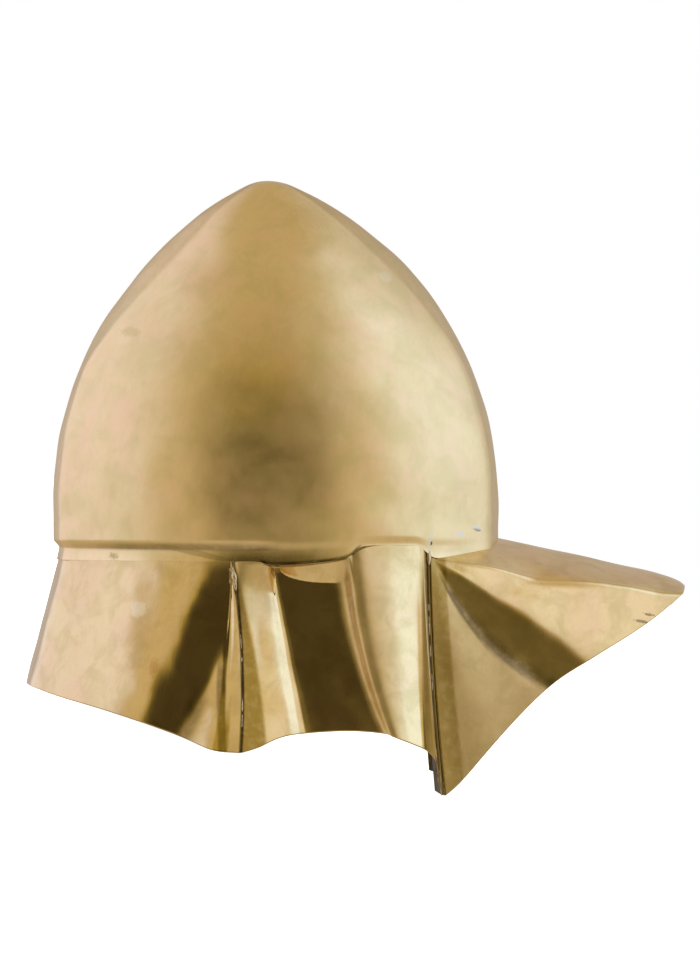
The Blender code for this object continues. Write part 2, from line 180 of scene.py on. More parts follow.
def blur(grid: np.ndarray, sigma: float, axis: int, wraps: bool = False) -> np.ndarray:
    """Gaussian-weighted mean along an axis, which rounds a fold and keeps the ends in place.

    Args:
        grid: any array.
        sigma: standard deviation in grid steps.
        axis: the axis to smooth along.
        wraps: whether the axis closes on itself; otherwise it goes on in odd reflection.

    Returns:
        The smoothed array, of the same shape.
    """
    reach = int(3 * sigma) + 1
    moved = np.moveaxis(grid, axis, 0)
    if wraps:
        padded = np.concatenate([moved[-reach:], moved, moved[:reach]])
    else:
        head = 2 * moved[:1] - moved[reach:0:-1]
        tail = 2 * moved[-1:] - moved[-2 : -reach - 2 : -1]
        padded = np.concatenate([head, moved, tail])
    offsets = np.arange(-reach, reach + 1)
    weights = np.exp(-0.5 * (offsets / sigma) ** 2)
    weights /= weights.sum()
    out = sum(w * padded[reach + o : reach + o + len(moved)] for w, o in zip(weights, offsets))
    return np.moveaxis(out, 0, axis)


def ripple(points: np.ndarray, wavelength: float, seed: int, waves: int = 28) -> np.ndarray:
    """Smooth random field of about unit size: a sum of plane waves near one wavelength.

    Args:
        points: an array of points in millimetres.
        wavelength: typical distance from crest to crest.
        seed: which field.
        waves: how many plane waves are added.

    Returns:
        The field's value at each point.
    """
    rng = np.random.default_rng(seed)
    direction = unit(rng.normal(size=(waves, 3)))
    number = 2.0 * math.pi / (wavelength * rng.uniform(0.65, 1.6, size=(waves, 1)))
    phase = rng.uniform(0.0, 2.0 * math.pi, size=waves)
    return np.cos(points @ (direction * number).T + phase).sum(axis=-1) * math.sqrt(2.0 / waves)


def edged(count: int, length: float, low: float = RIM_ROUND, high: float = RIM_ROUND) -> np.ndarray:
    """Shares from 0 to 1, with one more close to each open edge, which keeps the rim crisp.

    Args:
        count: how many even steps.
        length: rough length of the side in millimetres.
        low: how close the share beside the 0 end lies, in millimetres, or 0 for none.
        high: the same for the 1 end.

    Returns:
        The rising shares.
    """
    extra = np.array([low, length - high]) / length
    return np.unique(np.concatenate([np.linspace(0.0, 1.0, count + 1), extra]))


def grid_normals(face: np.ndarray, wraps: bool) -> np.ndarray:
    """Unit normals of a grid: the cross product of its differences along and down."""
    down = np.gradient(face, axis=0)
    if wraps:
        along = np.roll(face, -1, axis=1) - np.roll(face, 1, axis=1)
    else:
        along = np.gradient(face, axis=1)
    return unit(np.cross(along, down))


def hammered(
    face: np.ndarray, depth: np.ndarray | float, size: float, seed: int, wraps: bool = False
) -> np.ndarray:
    """A face moved along its normals by soft dents.

    The dents are the ripple field, with a fainter field of a third of the size added, times
    the depth.

    Args:
        face: the grid of points.
        depth: depth of the dents in millimetres: one for all, for each row or for each point.
        size: typical distance from dent to dent.
        seed: which field.
        wraps: whether the columns close on themselves.

    Returns:
        The dented face.
    """
    dents = ripple(face, size, seed) + FINE_DENTS * ripple(face, size / 3.0, seed + 1)
    return face + grid_normals(face, wraps) * (depth * dents)[..., None]


def mirrored(half: np.ndarray) -> np.ndarray:
    """A grid and its mirror image in y, joined along the grid's first column."""
    other = half[:, :0:-1] * Side.RIGHT.flip
    return np.concatenate([other, half], axis=1)


# ---------------------------------------------------------------- resting pose and sheet metal


@dataclass
class RestPose:
    """Turns points of the worn frame, in millimetres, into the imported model's frame."""

    shift: np.ndarray

    @staticmethod
    def turn() -> np.ndarray:
        """The rotation about y that lifts the nose by REST_TILT."""
        c, s = math.cos(REST_TILT), math.sin(REST_TILT)
        return np.array([[c, 0.0, -s], [0.0, 1.0, 0.0], [s, 0.0, c]])

    @classmethod
    def matching(cls, node: str, points: np.ndarray) -> RestPose:
        """The pose in which a piece's box has the same middle as the node that it stands for.

        Args:
            node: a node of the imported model.
            points: the piece's points in the worn frame.

        Returns:
            The pose.
        """
        turned = points.reshape(-1, 3) @ cls.turn().T * MM
        low, high = (np.array(corner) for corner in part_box(node))
        return cls((low + high - turned.min(axis=0) - turned.max(axis=0)) / 2.0)

    def place(self, points: np.ndarray) -> np.ndarray:
        """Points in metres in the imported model's frame."""
        return points @ self.turn().T * MM + self.shift


def add_mesh(name: str, points: np.ndarray, faces: list[np.ndarray], masks: Masks) -> bpy.types.Object:
    """A smooth-shaded mesh object from arrays, without the points that no face uses.

    Args:
        name: the object's name.
        points: corner points in metres.
        faces: arrays of corner numbers, a face in each row.
        masks: values for each point, kept as attributes.

    Returns:
        The object, linked to the scene.
    """
    used = np.unique(np.concatenate([rows.ravel() for rows in faces]))
    renumber = np.zeros(len(points), int)
    renumber[used] = np.arange(len(used))
    loops = np.concatenate([renumber[rows].ravel() for rows in faces])
    sizes = np.concatenate([np.full(len(rows), rows.shape[1]) for rows in faces])
    starts = np.cumsum(sizes) - sizes
    mesh = bpy.data.meshes.new(name)
    mesh.vertices.add(len(used))
    mesh.vertices.foreach_set("co", points[used].ravel())
    mesh.loops.add(len(loops))
    mesh.loops.foreach_set("vertex_index", loops.astype(np.int32))
    mesh.polygons.add(len(sizes))
    mesh.polygons.foreach_set("loop_start", starts.astype(np.int32))
    mesh.polygons.foreach_set("use_smooth", np.ones(len(sizes), bool))
    mesh.update(calc_edges=True)
    for title, values in masks.items():
        mesh.attributes.new(title, "FLOAT", "POINT").data.foreach_set("value", values[used])
    thing = bpy.data.objects.new(name, mesh)
    bpy.context.scene.collection.objects.link(thing)
    return thing


@dataclass
class Sheet:
    """A piece of sheet metal, from its outer face in the worn frame to a mesh object."""

    name: str
    face: np.ndarray  # rows by columns by 3
    slot: str
    core: Point = (10.0, 0.0, -60.0)  # a point behind the outer face
    thickness: float = SHEET
    rim: float = RIM_ROUND  # how far the rounded edge stands out
    wraps: bool = False  # the columns close on themselves
    pole: bool = False  # the last row is a single point
    masks: Masks = field(default_factory=dict)

    def border(self) -> tuple[np.ndarray, np.ndarray]:
        """Grid places of the open edge, in order, and the places one step in from them."""
        rows, cols = self.face.shape[:2]
        index = np.arange(rows * cols).reshape(rows, cols)
        if self.wraps:
            return index[0], index[1]
        inner_rows, inner_cols = (np.clip(np.arange(n), 1, n - 2) for n in (rows, cols))
        inside = index[np.ix_(inner_rows, inner_cols)]
        edge, beside = (
            np.concatenate([a[0, :-1], a[:-1, -1], a[-1, :0:-1], a[:0:-1, 0]]) for a in (index, inside)
        )
        return edge, beside

    def solid(self) -> tuple[np.ndarray, list[np.ndarray], np.ndarray]:
        """The closed wall: outer face, inner face its thickness in, and a rounded rim.

        Returns:
            Points, arrays of faces, and each point's place on the outer face's grid.
        """
        rows, cols = self.face.shape[:2]
        normals = grid_normals(self.face, self.wraps)
        if self.pole:
            normals[-1] = unit(normals[-2].mean(axis=0))
        sign = np.sign((normals * (self.face - np.array(self.core))).sum(axis=-1).mean())
        outer = self.face.reshape(-1, 3)
        inner = (self.face - sign * self.thickness * normals).reshape(-1, 3)
        edge, inside = self.border()
        middle = (outer[edge] + inner[edge]) / 2.0 + self.rim * unit(outer[edge] - outer[inside])

        total = rows * cols
        index = np.arange(total).reshape(rows, cols)
        body = index[:-1] if self.pole else index
        left, right = (body, np.roll(body, -1, axis=1)) if self.wraps else (body[:, :-1], body[:, 1:])
        skin = np.stack([left[:-1], right[:-1], right[1:], left[1:]], axis=-1).reshape(-1, 4)
        rim = 2 * total + np.arange(len(edge))
        after, rim_after = np.roll(edge, -1), np.roll(rim, -1)
        outer_rim = np.stack([after, edge, rim, rim_after], axis=-1)
        inner_rim = np.stack([rim_after, rim, edge + total, after + total], axis=-1)
        faces = [skin, outer_rim, inner_rim, skin[:, ::-1] + total]
        if self.pole:
            tip = np.full(cols, index[-1, 0])
            cap = np.stack([body[-1], np.roll(body[-1], -1), tip], axis=-1)
            faces = [*faces[:3], cap, cap[:, ::-1] + total, faces[3]]
        if sign < 0.0:
            faces = [part[:, ::-1] for part in faces]
        source = np.concatenate([np.arange(total), np.arange(total), edge])
        return np.concatenate([outer, inner, middle]), faces, source

    def build(
        self, pose: RestPose, replaces: str, outer: bpy.types.Material, inner: bpy.types.Material
    ) -> None:
        """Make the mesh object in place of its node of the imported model.

        Args:
            pose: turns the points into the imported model's frame.
            replaces: the node.
            outer: the finish of the outer face and the rim.
            inner: the finish of the inner face.
        """
        points, faces, source = self.solid()
        masks = {title: values.reshape(-1)[source] for title, values in self.masks.items()}
        thing = add_mesh(self.name, pose.place(points), faces, masks)
        thing.data.materials.append(outer)
        thing.data.materials.append(inner)
        count, back = len(thing.data.polygons), len(faces[-1])
        slots = np.zeros(count, np.int32)
        slots[count - back :] = 1
        thing.data.polygons.foreach_set("material_index", slots)
        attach(thing, "root")
        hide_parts(replaces)
        LOG.info("%s: %d faces", self.name, count)


# ---------------------------------------------------------------- tables of the brim's folds


class Foot(NamedTuple):
    """Skull's lower edge at a place along x, with the groove pressed in above it."""

    x: float
    z: float
    groove: float  # depth of the groove
    groove_z: float  # height of its deepest line
    back: float  # height under that line over which the surface comes out again


class Fold(NamedTuple):
    """One fold line of a panel: its start on the skull's foot and its end on the rim."""

    turn: float  # share of the way round the foot, 0 at the brow and 1 at the nape
    inset: float  # how far the start lies inside the skull's foot
    x: float
    y: float
    z: float
    bow: float = 0.0  # how far the middle of the line lies forward
    sag: float = 0.0  # how far it lies inward
    sharp: bool = False


class Station(NamedTuple):
    """One place along the visor's crease, with the middle line's height above it."""

    x: float
    y: float
    z: float
    middle_z: float


class Ray(NamedTuple):
    """One line of the visor's side, fanned out from the temple to the rim."""

    x: float
    y: float
    z: float
    swell: float = 0.0  # how far the middle of the line stands out
    droop: float = 0.0  # how far it lies back, and as far down


class PleatLine(NamedTuple):
    """The line where two panels stand out from the head, from its start to its tip."""

    start: Point
    tip: Point
    half: float  # half the thickness of the layers
    bow: float  # how far the middle of the line lies forward
    sag: float  # how far it lies inward


class Strip(NamedTuple):
    """A strip of painted shade beside a pleat, for the darker reflection there."""

    start: float  # its width where the pleat starts
    tip: float  # its width at the pleat's tip
    share: float  # how strong its painted shade is


FOOT = (
    Foot(-121.0, -7.5, 3.0, -1.4, 16.0),
    Foot(-60.0, -7.5, 3.0, -1.4, 16.0),
    Foot(-21.0, -7.5, 2.0, -1.4, 16.0),
    Foot(-7.0, -7.7, 1.0, -1.4, 16.0),
    Foot(-1.5, -9.4, 0.6, -1.4, 16.0),
    Foot(5.0, -9.2, 0.3, -1.6, 16.0),
    Foot(39.0, -5.6, 0.3, -1.0, 10.0),
    Foot(42.0, -3.6, 0.6, 0.0, 8.0),
    Foot(45.5, 0.2, 1.0, 1.2, 7.0),
    Foot(60.0, 0.9, 1.3, 1.4, 7.0),
    Foot(76.0, 0.2, 0.8, 1.2, 7.0),
    Foot(81.0, -3.4, 0.4, 0.0, 8.0),
    Foot(84.0, -5.8, 0.4, 0.0, 10.0),
    Foot(121.0, 3.4, 0.0, 0.0, 10.0),
)

NECK_FOLDS = (
    Fold(1.000, 0.0, -135.5, 0.0, -73.8),
    Fold(0.860, 0.0, -130.4, 36.0, -74.4, sharp=True),
    Fold(0.790, 0.0, -114.0, 61.0, -78.8),
    Fold(0.705, 0.0, -91.0, 83.5, -84.2),
    Fold(0.632, 0.0, -71.5, 97.0, -89.8),
    Fold(0.606, 0.0, -60.0, 100.4, -93.6),
    Fold(0.571, 0.0, -47.0, 103.4, -98.2, 7.0),
    Fold(0.5705, 0.0, -31.0, 115.2, -104.4, 2.8, 4.6),
    Fold(0.570, 0.0, -24.6, 115.6, -105.2, 3.1, 2.8),
)

EAR_FOLDS = (
    Fold(0.558, 1.5, -7.0, 113.8, -103.0, 1.5, 1.5),
    Fold(0.536, 6.5, 1.2, 109.2, -99.2, 0.0, 1.2),
    Fold(0.516, 11.0, 9.6, 104.6, -97.0, 0.0, 1.0),
    Fold(0.499, 14.5, 17.8, 99.8, -96.3, 0.0, 1.0),
    Fold(0.455, 14.0, 38.0, 98.8, -95.2),
    Fold(0.384, 10.0, 57.0, 98.0, -96.6, -4.0),
    Fold(0.370, -1.0, 62.0, 102.2, -98.2, -4.0),
    Fold(0.346, -1.6, 66.4, 101.4, -99.6, -3.0),
    Fold(0.308, -0.5, 71.4, 98.2, -101.6, -1.5),
    Fold(0.262, 0.0, 78.4, 93.6, -104.8, -1.0),
    Fold(0.256, 0.0, 81.0, 94.0, -106.8, -1.3),
    Fold(0.254, 0.0, 83.2, 95.0, -109.2, -1.5),
    Fold(0.253, 0.0, 84.8, 96.2, -112.2, -1.5),
    Fold(0.252, 0.0, 86.1, 98.0, -117.0, -1.5),
)

VISOR_STATIONS = (
    Station(84.0, 64.5, -6.2, 11.6),
    Station(112.6, 58.5, -10.3, 5.5),
    Station(141.7, 51.5, -17.0, -0.8),
    Station(163.7, 45.8, -18.3, -5.4),
    Station(186.0, 39.8, -21.1, -10.6),
    Station(208.0, 33.2, -25.1, -15.6),
    Station(217.6, 29.6, -25.3, -19.2),
    Station(220.4, 29.6, -25.7, -21.3),
)

VISOR_RAYS = (
    Ray(217.6, 29.6, -25.3),
    Ray(207.2, 38.2, -34.2, 0.5),
    Ray(191.0, 49.2, -45.2),
    Ray(175.0, 59.0, -54.2),
    Ray(164.5, 65.2, -60.6),
    Ray(148.4, 68.6, -70.2, 2.6, 7.0),
    Ray(131.0, 78.0, -85.6, 2.6, 5.5),
    Ray(110.6, 90.4, -107.4, 1.2, 2.5),
    Ray(96.8, 97.4, -123.0, 0.4, 0.8),
)

REAR_PLEAT = PleatLine((-20.9, 93.5, -8.0), (-16.3, 119.0, -105.5), 0.45, 2.5, 2.0)
FRONT_PLEAT = PleatLine((81.5, 66.5, -3.8), (88.3, 101.5, -128.8), 1.1, -1.5, 0.0)

Lines = tuple[np.ndarray, np.ndarray, np.ndarray]  # starts, ends and bows


def pleat_edge(pleat: PleatLine, forward: float, first: float = 0.0) -> Lines:
    """A panel's edge beside a pleat: its line moved forward by a distance.

    Args:
        pleat: the pleat's own line.
        forward: how far the edge lies ahead of it.
        first: share of the line that is left out at its start.

    Returns:
        One start, one end and one bow.
    """
    shift = np.array([forward, 0.0, 0.0])
    start, tip = np.array([pleat.start]) + shift, np.array([pleat.tip]) + shift
    return lerp(start, tip, first), tip, np.array([[pleat.bow, -pleat.sag, 0.0]])


def joined(*lines: Lines) -> Lines:
    """Several sets of starts, ends and bows as one."""
    starts, ends, bows = (np.vstack(parts) for parts in zip(*lines))
    return starts, ends, bows


def loft(lines: Lines, pieces: int, rows: np.ndarray) -> np.ndarray:
    """Grid of gently bowed lines from starts to ends, smooth across the lines.

    Args:
        lines: starts, ends and bows.
        pieces: how many columns each interval between lines is cut into.
        rows: shares from start to end.

    Returns:
        The grid of points.
    """
    knots = np.arange(len(lines[0]), dtype=float)
    at = np.linspace(0.0, knots[-1], (len(knots) - 1) * pieces + 1)
    smooth = monotone(knots, np.hstack(lines), at)
    return bowed(smooth[:, :3], smooth[:, 3:6], smooth[:, 6:], rows[:, None, None])


# ---------------------------------------------------------------- forms of the pieces


@dataclass
class Skull:
    """The tall skull: an ogive over a rounded-lens plan, with a band from brow to nape."""

    half_length: float = 120.0
    half_width: float = 97.0
    top: float = 196.6
    waist: float = 23.0  # height of the widest section
    tip_radius_side: float = 30.0
    tip_radius_front: float = 26.0
    tip_shift: float = -3.5  # the tip leans back a little
    tip_shift_from: float = 150.0
    band_half_width: float = 36.5
    band_narrowing: float = 1.43  # how soon the band narrows under the tip
    side_power: float = 2.2  # roundness of the sides in plan, 2 is a parabola
    band_share: float = 0.14  # share of the half turn taken by the band at each end
    bulge_low: float = 0.046  # the band's bulge low down, as a share of the half length
    bulge_gain: float = 0.235  # what is added to it towards the tip
    bulge_from: float = 90.0  # heights over which that comes in
    bulge_to_rear: float = 175.0
    bulge_to_front: float = 188.0
    groove_run: float = 4.6  # height over which the groove is pressed in
    crease_round: float = 0.9  # rounding of the band's edge, in columns
    dent_depth: float = 0.14
    dent_size: float = 34.0
    dent_fade: float = 9.0  # height over the foot where the dents are whole
    groove_shade_share: float = 0.65  # how dark the painted shade in the groove is
    groove_shade_over: Span = (3.4, -1.0)  # heights over which it comes in from above
    groove_shade_under: Span = (-2.1, -1.5)  # and from below
    groove_shade_ends: tuple[Span, Span] = ((-118.0, -70.0), (-6.0, 6.0))  # and along x
    lip_shadow_heights: Span = (0.6, 2.2)  # where the painted shadow on the skull's edge over a recess fades upward
    lip_shadow_ends: tuple[Span, Span] = ((-8.0, -5.0), (43.0, 47.0))  # and along x
    satin_heights: Span = (-10.0, 1.0)
    band_reflection_shade: float = 0.38  # painted reflection: how much browner the band is made, for its darker reflection
    band_fade: Span = (0.86, 0.97)  # shares across the band where that ends
    reflection_gold_share: float = 0.17  # painted reflection: how much more golden the dark reflection in the middle of each side is made
    reflection_gold_middle: Span = (9.0, 72.0)  # x and z of that part
    reflection_gold_size: Span = (44.0, 46.0)
    columns: int = 176
    low_rows: int = 56
    low_top: float = 30.0  # height up to which the rows are even
    rows: int = 84
    crowding: float = 1.04  # how the upper rows crowd towards the tip

    def ogive(self, z: np.ndarray, half_width: float, tip_radius: float) -> np.ndarray:
        """Half width of an ogive at height z.

        A circle stands upright at the waist and leans in, and a tip circle of tip_radius
        touches it and reaches the top.
        """
        height = self.top - self.waist - tip_radius
        inner = half_width - tip_radius
        offset = (height**2 - inner**2) / (2 * inner)
        radius = half_width + offset
        touch = radius * height / (radius - tip_radius)
        rise = np.asarray(z, float) - self.waist
        arc = np.sqrt(radius**2 - np.clip(rise, 0.0, touch) ** 2) - offset
        cap = np.sqrt(np.clip(tip_radius**2 - (rise - height) ** 2, 0.0, None))
        return np.where(rise < touch, arc, cap)

    def section(self, turn: np.ndarray, z: np.ndarray, inset: np.ndarray | float = 0.0) -> np.ndarray:
        """Points of the outer face at the given turn and height.

        On the band x is the half length less the bulge times the squared share across it. On
        the side y falls from the half width by a power of the share along it.

        Args:
            turn: share of the half turn from the brow, 0, to the nape, 1.
            z: height of each point.
            inset: distance inward, square to the section.

        Returns:
            An array of points, its last axis holding x, y and z.
        """
        turn, z = np.broadcast_arrays(np.asarray(turn, float), np.asarray(z, float))
        length = self.ogive(z, self.half_length, self.tip_radius_side)
        width = self.ogive(z, self.half_width, self.tip_radius_front)
        band = self.band_half_width * np.tanh(width / (self.band_narrowing * self.band_half_width))
        fore, aft = (
            length * (self.bulge_low + self.bulge_gain * smoothstep(self.bulge_from, top, z))
            for top in (self.bulge_to_front, self.bulge_to_rear)
        )
        on_band = (turn < self.band_share) | (turn > 1.0 - self.band_share)
        across = np.minimum(turn, 1.0 - turn) / self.band_share
        sign = np.where(turn < 0.5, 1.0, -1.0)
        bulge = np.where(turn < 0.5, fore, aft)
        along = np.clip(1.0 - 2.0 * (turn - self.band_share) / (1.0 - 2.0 * self.band_share), -1.0, 1.0)
        reach = length - bulge
        power = self.side_power
        x = np.where(on_band, sign * (length - bulge * across**2), along * reach)
        y = np.where(on_band, band * across, band + (width - band) * (1.0 - np.abs(along) ** power))
        lean = power * (width - band) / np.maximum(reach, 1.0) * np.abs(along) ** (power - 1.0)
        normal_x = np.where(on_band, sign, np.sign(along) * lean)
        normal_y = np.where(on_band, 2.0 * bulge * across / np.maximum(band, 1.0), 1.0)
        size = np.hypot(normal_x, normal_y)
        shift = self.tip_shift * smoothstep(self.tip_shift_from, self.top, z)
        x = x - inset * normal_x / size + shift
        y = y - inset * normal_y / size
        return np.stack([x, y, z], axis=-1)

    def foot_line(self, turn: np.ndarray) -> np.ndarray:
        """Height of the lower edge, then the groove's depth, height and way out, for each turn."""
        plan = self.section(turn, np.zeros_like(turn))
        rows = column(FOOT, "x", "z", "groove", "groove_z", "back")
        line = monotone(rows[:, 0], rows[:, 1:], plan[:, 0]).T
        over_visor = plan[:, 0] > VISOR_STATIONS[0].x
        line[0] = np.where(over_visor, Visor.top(plan[:, 0], plan[:, 1]), line[0])
        return line

    def outside(self, turn: np.ndarray, z: np.ndarray, inset: np.ndarray | float = 0.0) -> np.ndarray:
        """Outer face with the groove over the foot, for a grid of heights by turns.

        The groove's depth eases in from groove_run above its deepest line and is lost again
        over the height that the foot's table gives.
        """
        _, groove, groove_z, back = self.foot_line(turn)
        below = np.clip((groove_z - z) / back, 0.0, 1.0)
        depth = groove * fading(0.0, self.groove_run, z - groove_z) * (1.0 - below)
        return self.section(np.broadcast_to(turn, z.shape), z, depth + inset)

    def foot_points(self, turn: np.ndarray, inset: np.ndarray | float = 0.0) -> np.ndarray:
        """Points on the lower edge, where a panel starts."""
        return self.outside(turn, self.foot_line(turn)[0], inset)

    def turn_at(self, x: float) -> float:
        """Turn at which the foot reaches x."""
        turns = np.linspace(self.band_share, 1.0 - self.band_share, 400)
        reached = self.section(turns, np.zeros_like(turns))[:, 0]
        return float(np.interp(-x, -reached, turns))

    def face(self) -> np.ndarray:
        """Rows from the foot to the tip, columns all the way round from the brow."""
        turn = np.linspace(0.0, 1.0, self.columns + 1)
        foot = self.foot_line(turn)[0]
        low = edged(self.low_rows, self.low_top, JOINT, 0.0) * self.low_top
        quarter = np.linspace(0.0, math.pi / 2, self.rows)
        high = self.low_top + (self.top - self.low_top) * np.sin(quarter) ** self.crowding
        levels = np.concatenate([low, high[1:]])[:, None]
        z = levels + foot * fading(0.0, self.waist, levels)
        half = self.outside(turn, z)
        whole = np.concatenate([half, half[:, -2:0:-1] * Side.RIGHT.flip], axis=1)
        whole = blur(whole, self.crease_round, 1, wraps=True)
        depth = self.dent_depth * smoothstep(0.0, self.dent_fade, whole[..., 2] - whole[0, :, 2])
        return hammered(whole, depth, self.dent_size, seed=4, wraps=True)

    def sheet(self) -> Sheet:
        """The skull as sheet metal."""
        face = self.face()
        x, z = face[..., 0], face[..., 2]
        # painted shade along the groove over the foot
        groove = smoothstep(*self.groove_shade_over, z) * smoothstep(*self.groove_shade_under, z)
        groove = self.groove_shade_share * groove * between(x, *self.groove_shade_ends)
        # painted shadow on the skull's lowest edge over the ear recess, for the gap under it
        lip_shadow = fading(*self.lip_shadow_heights, z - z[0]) * between(x, *self.lip_shadow_ends)
        turn = np.abs(np.linspace(-1.0, 1.0, face.shape[1] + 1)[:-1])
        across = np.minimum(turn, 1.0 - turn) / self.band_share
        # painted reflection: the band's darker reflection as a brown tint
        band = self.band_reflection_shade * fading(*self.band_fade, across)
        # painted reflection: a golden tint over the dark reflection in the middle of each side
        away = (face[..., ::2] - np.array(self.reflection_gold_middle)) / np.array(self.reflection_gold_size)
        reflection_gold = self.reflection_gold_share * np.exp(-(away**2).sum(axis=-1))
        masks = {
            "grime": np.maximum(groove, lip_shadow),
            "satin": smoothstep(*self.satin_heights, z),
            "shade": np.maximum(band, reflection_gold),
        }
        return Sheet("skull_shell", face, "satin_brass", rim=0.0, wraps=True, pole=True, masks=masks)


@dataclass
class NeckGuard:
    """The neck guard: creased beside the band, convex behind and flared to the rear pleats."""

    tuck: float = -0.008  # share of the lines that is tucked up behind the skull's edge
    tuck_in: float = 0.996  # what its plan is scaled by there
    fold_round: float = 2.6  # rounding of the folds, in columns
    length: float = 75.0  # rough length of the fold lines
    dent_depth: float = 0.12
    dent_size: float = 26.0
    dent_fade: float = 0.12  # share of the lines where the dents are whole
    shade: float = 0.10  # painted shade: how much browner and darker the whole guard is made
    sliver_shade: float = 0.6  # how dark the painted dark reflection in the sliver beside the pleat is
    sliver_rows: Span = (0.5, 0.6)  # shares of the lines where it starts
    sliver_at: float = 4.9  # fold that its middle would have at the top
    sliver_slant: float = 2.85  # folds that its middle moves by on the way down
    sliver_edge: Span = (0.25, 0.45)  # folds from its middle where it ends
    corner: float = 0.6  # how dark the painted shade in the corner between the band's reflection and the sliver is
    corner_rows: Span = (0.7, 0.85)
    corner_folds: tuple[Span, Span] = ((5.5, 5.8), (6.1, 6.4))
    pieces: int = 13
    rows: int = 64

    def sheet(self, skull: Skull) -> Sheet:
        """The whole guard, from pleat to pleat."""
        rows = np.concatenate([[self.tuck], edged(self.rows, self.length, JOINT)])
        lines = joined(fold_lines(NECK_FOLDS, skull), pleat_edge(REAR_PLEAT, -REAR_PLEAT.half))
        crease = next(i for i, fold in enumerate(NECK_FOLDS) if fold.sharp)
        band = loft(tuple(part[: crease + 1] for part in lines), self.pieces, rows)
        side = loft(tuple(part[crease:] for part in lines), self.pieces, rows)
        half = np.concatenate([band[:, :-1], side], axis=1)
        face = blur(mirrored(half), self.fold_round, 1)
        face[0] *= np.array([self.tuck_in, self.tuck_in, 1.0])
        down = rows[:, None]
        depth = self.dent_depth * smoothstep(0.0, self.dent_fade, down)
        face = hammered(face, depth, self.dent_size, seed=11)
        masks = brim_masks(face)
        fold = np.abs(np.arange(face.shape[1]) - face.shape[1] // 2) / self.pieces
        # painted dark reflection in a sliver beside the pleat, and painted shade in the corner next to it
        off = np.abs(fold - self.sliver_at - self.sliver_slant * down)
        sliver_shade = smoothstep(*self.sliver_rows, down) * fading(*self.sliver_edge, off)
        corner = smoothstep(*self.corner_rows, down) * between(fold, *self.corner_folds)
        raise_mask(masks, "grime", self.sliver_shade * sliver_shade, self.corner * corner)
        # painted shade over the whole guard, which tones down its reflections
        raise_mask(masks, "shade", self.shade)
        return Sheet("neck_guard_shell", face, "bright_brass", masks=masks)


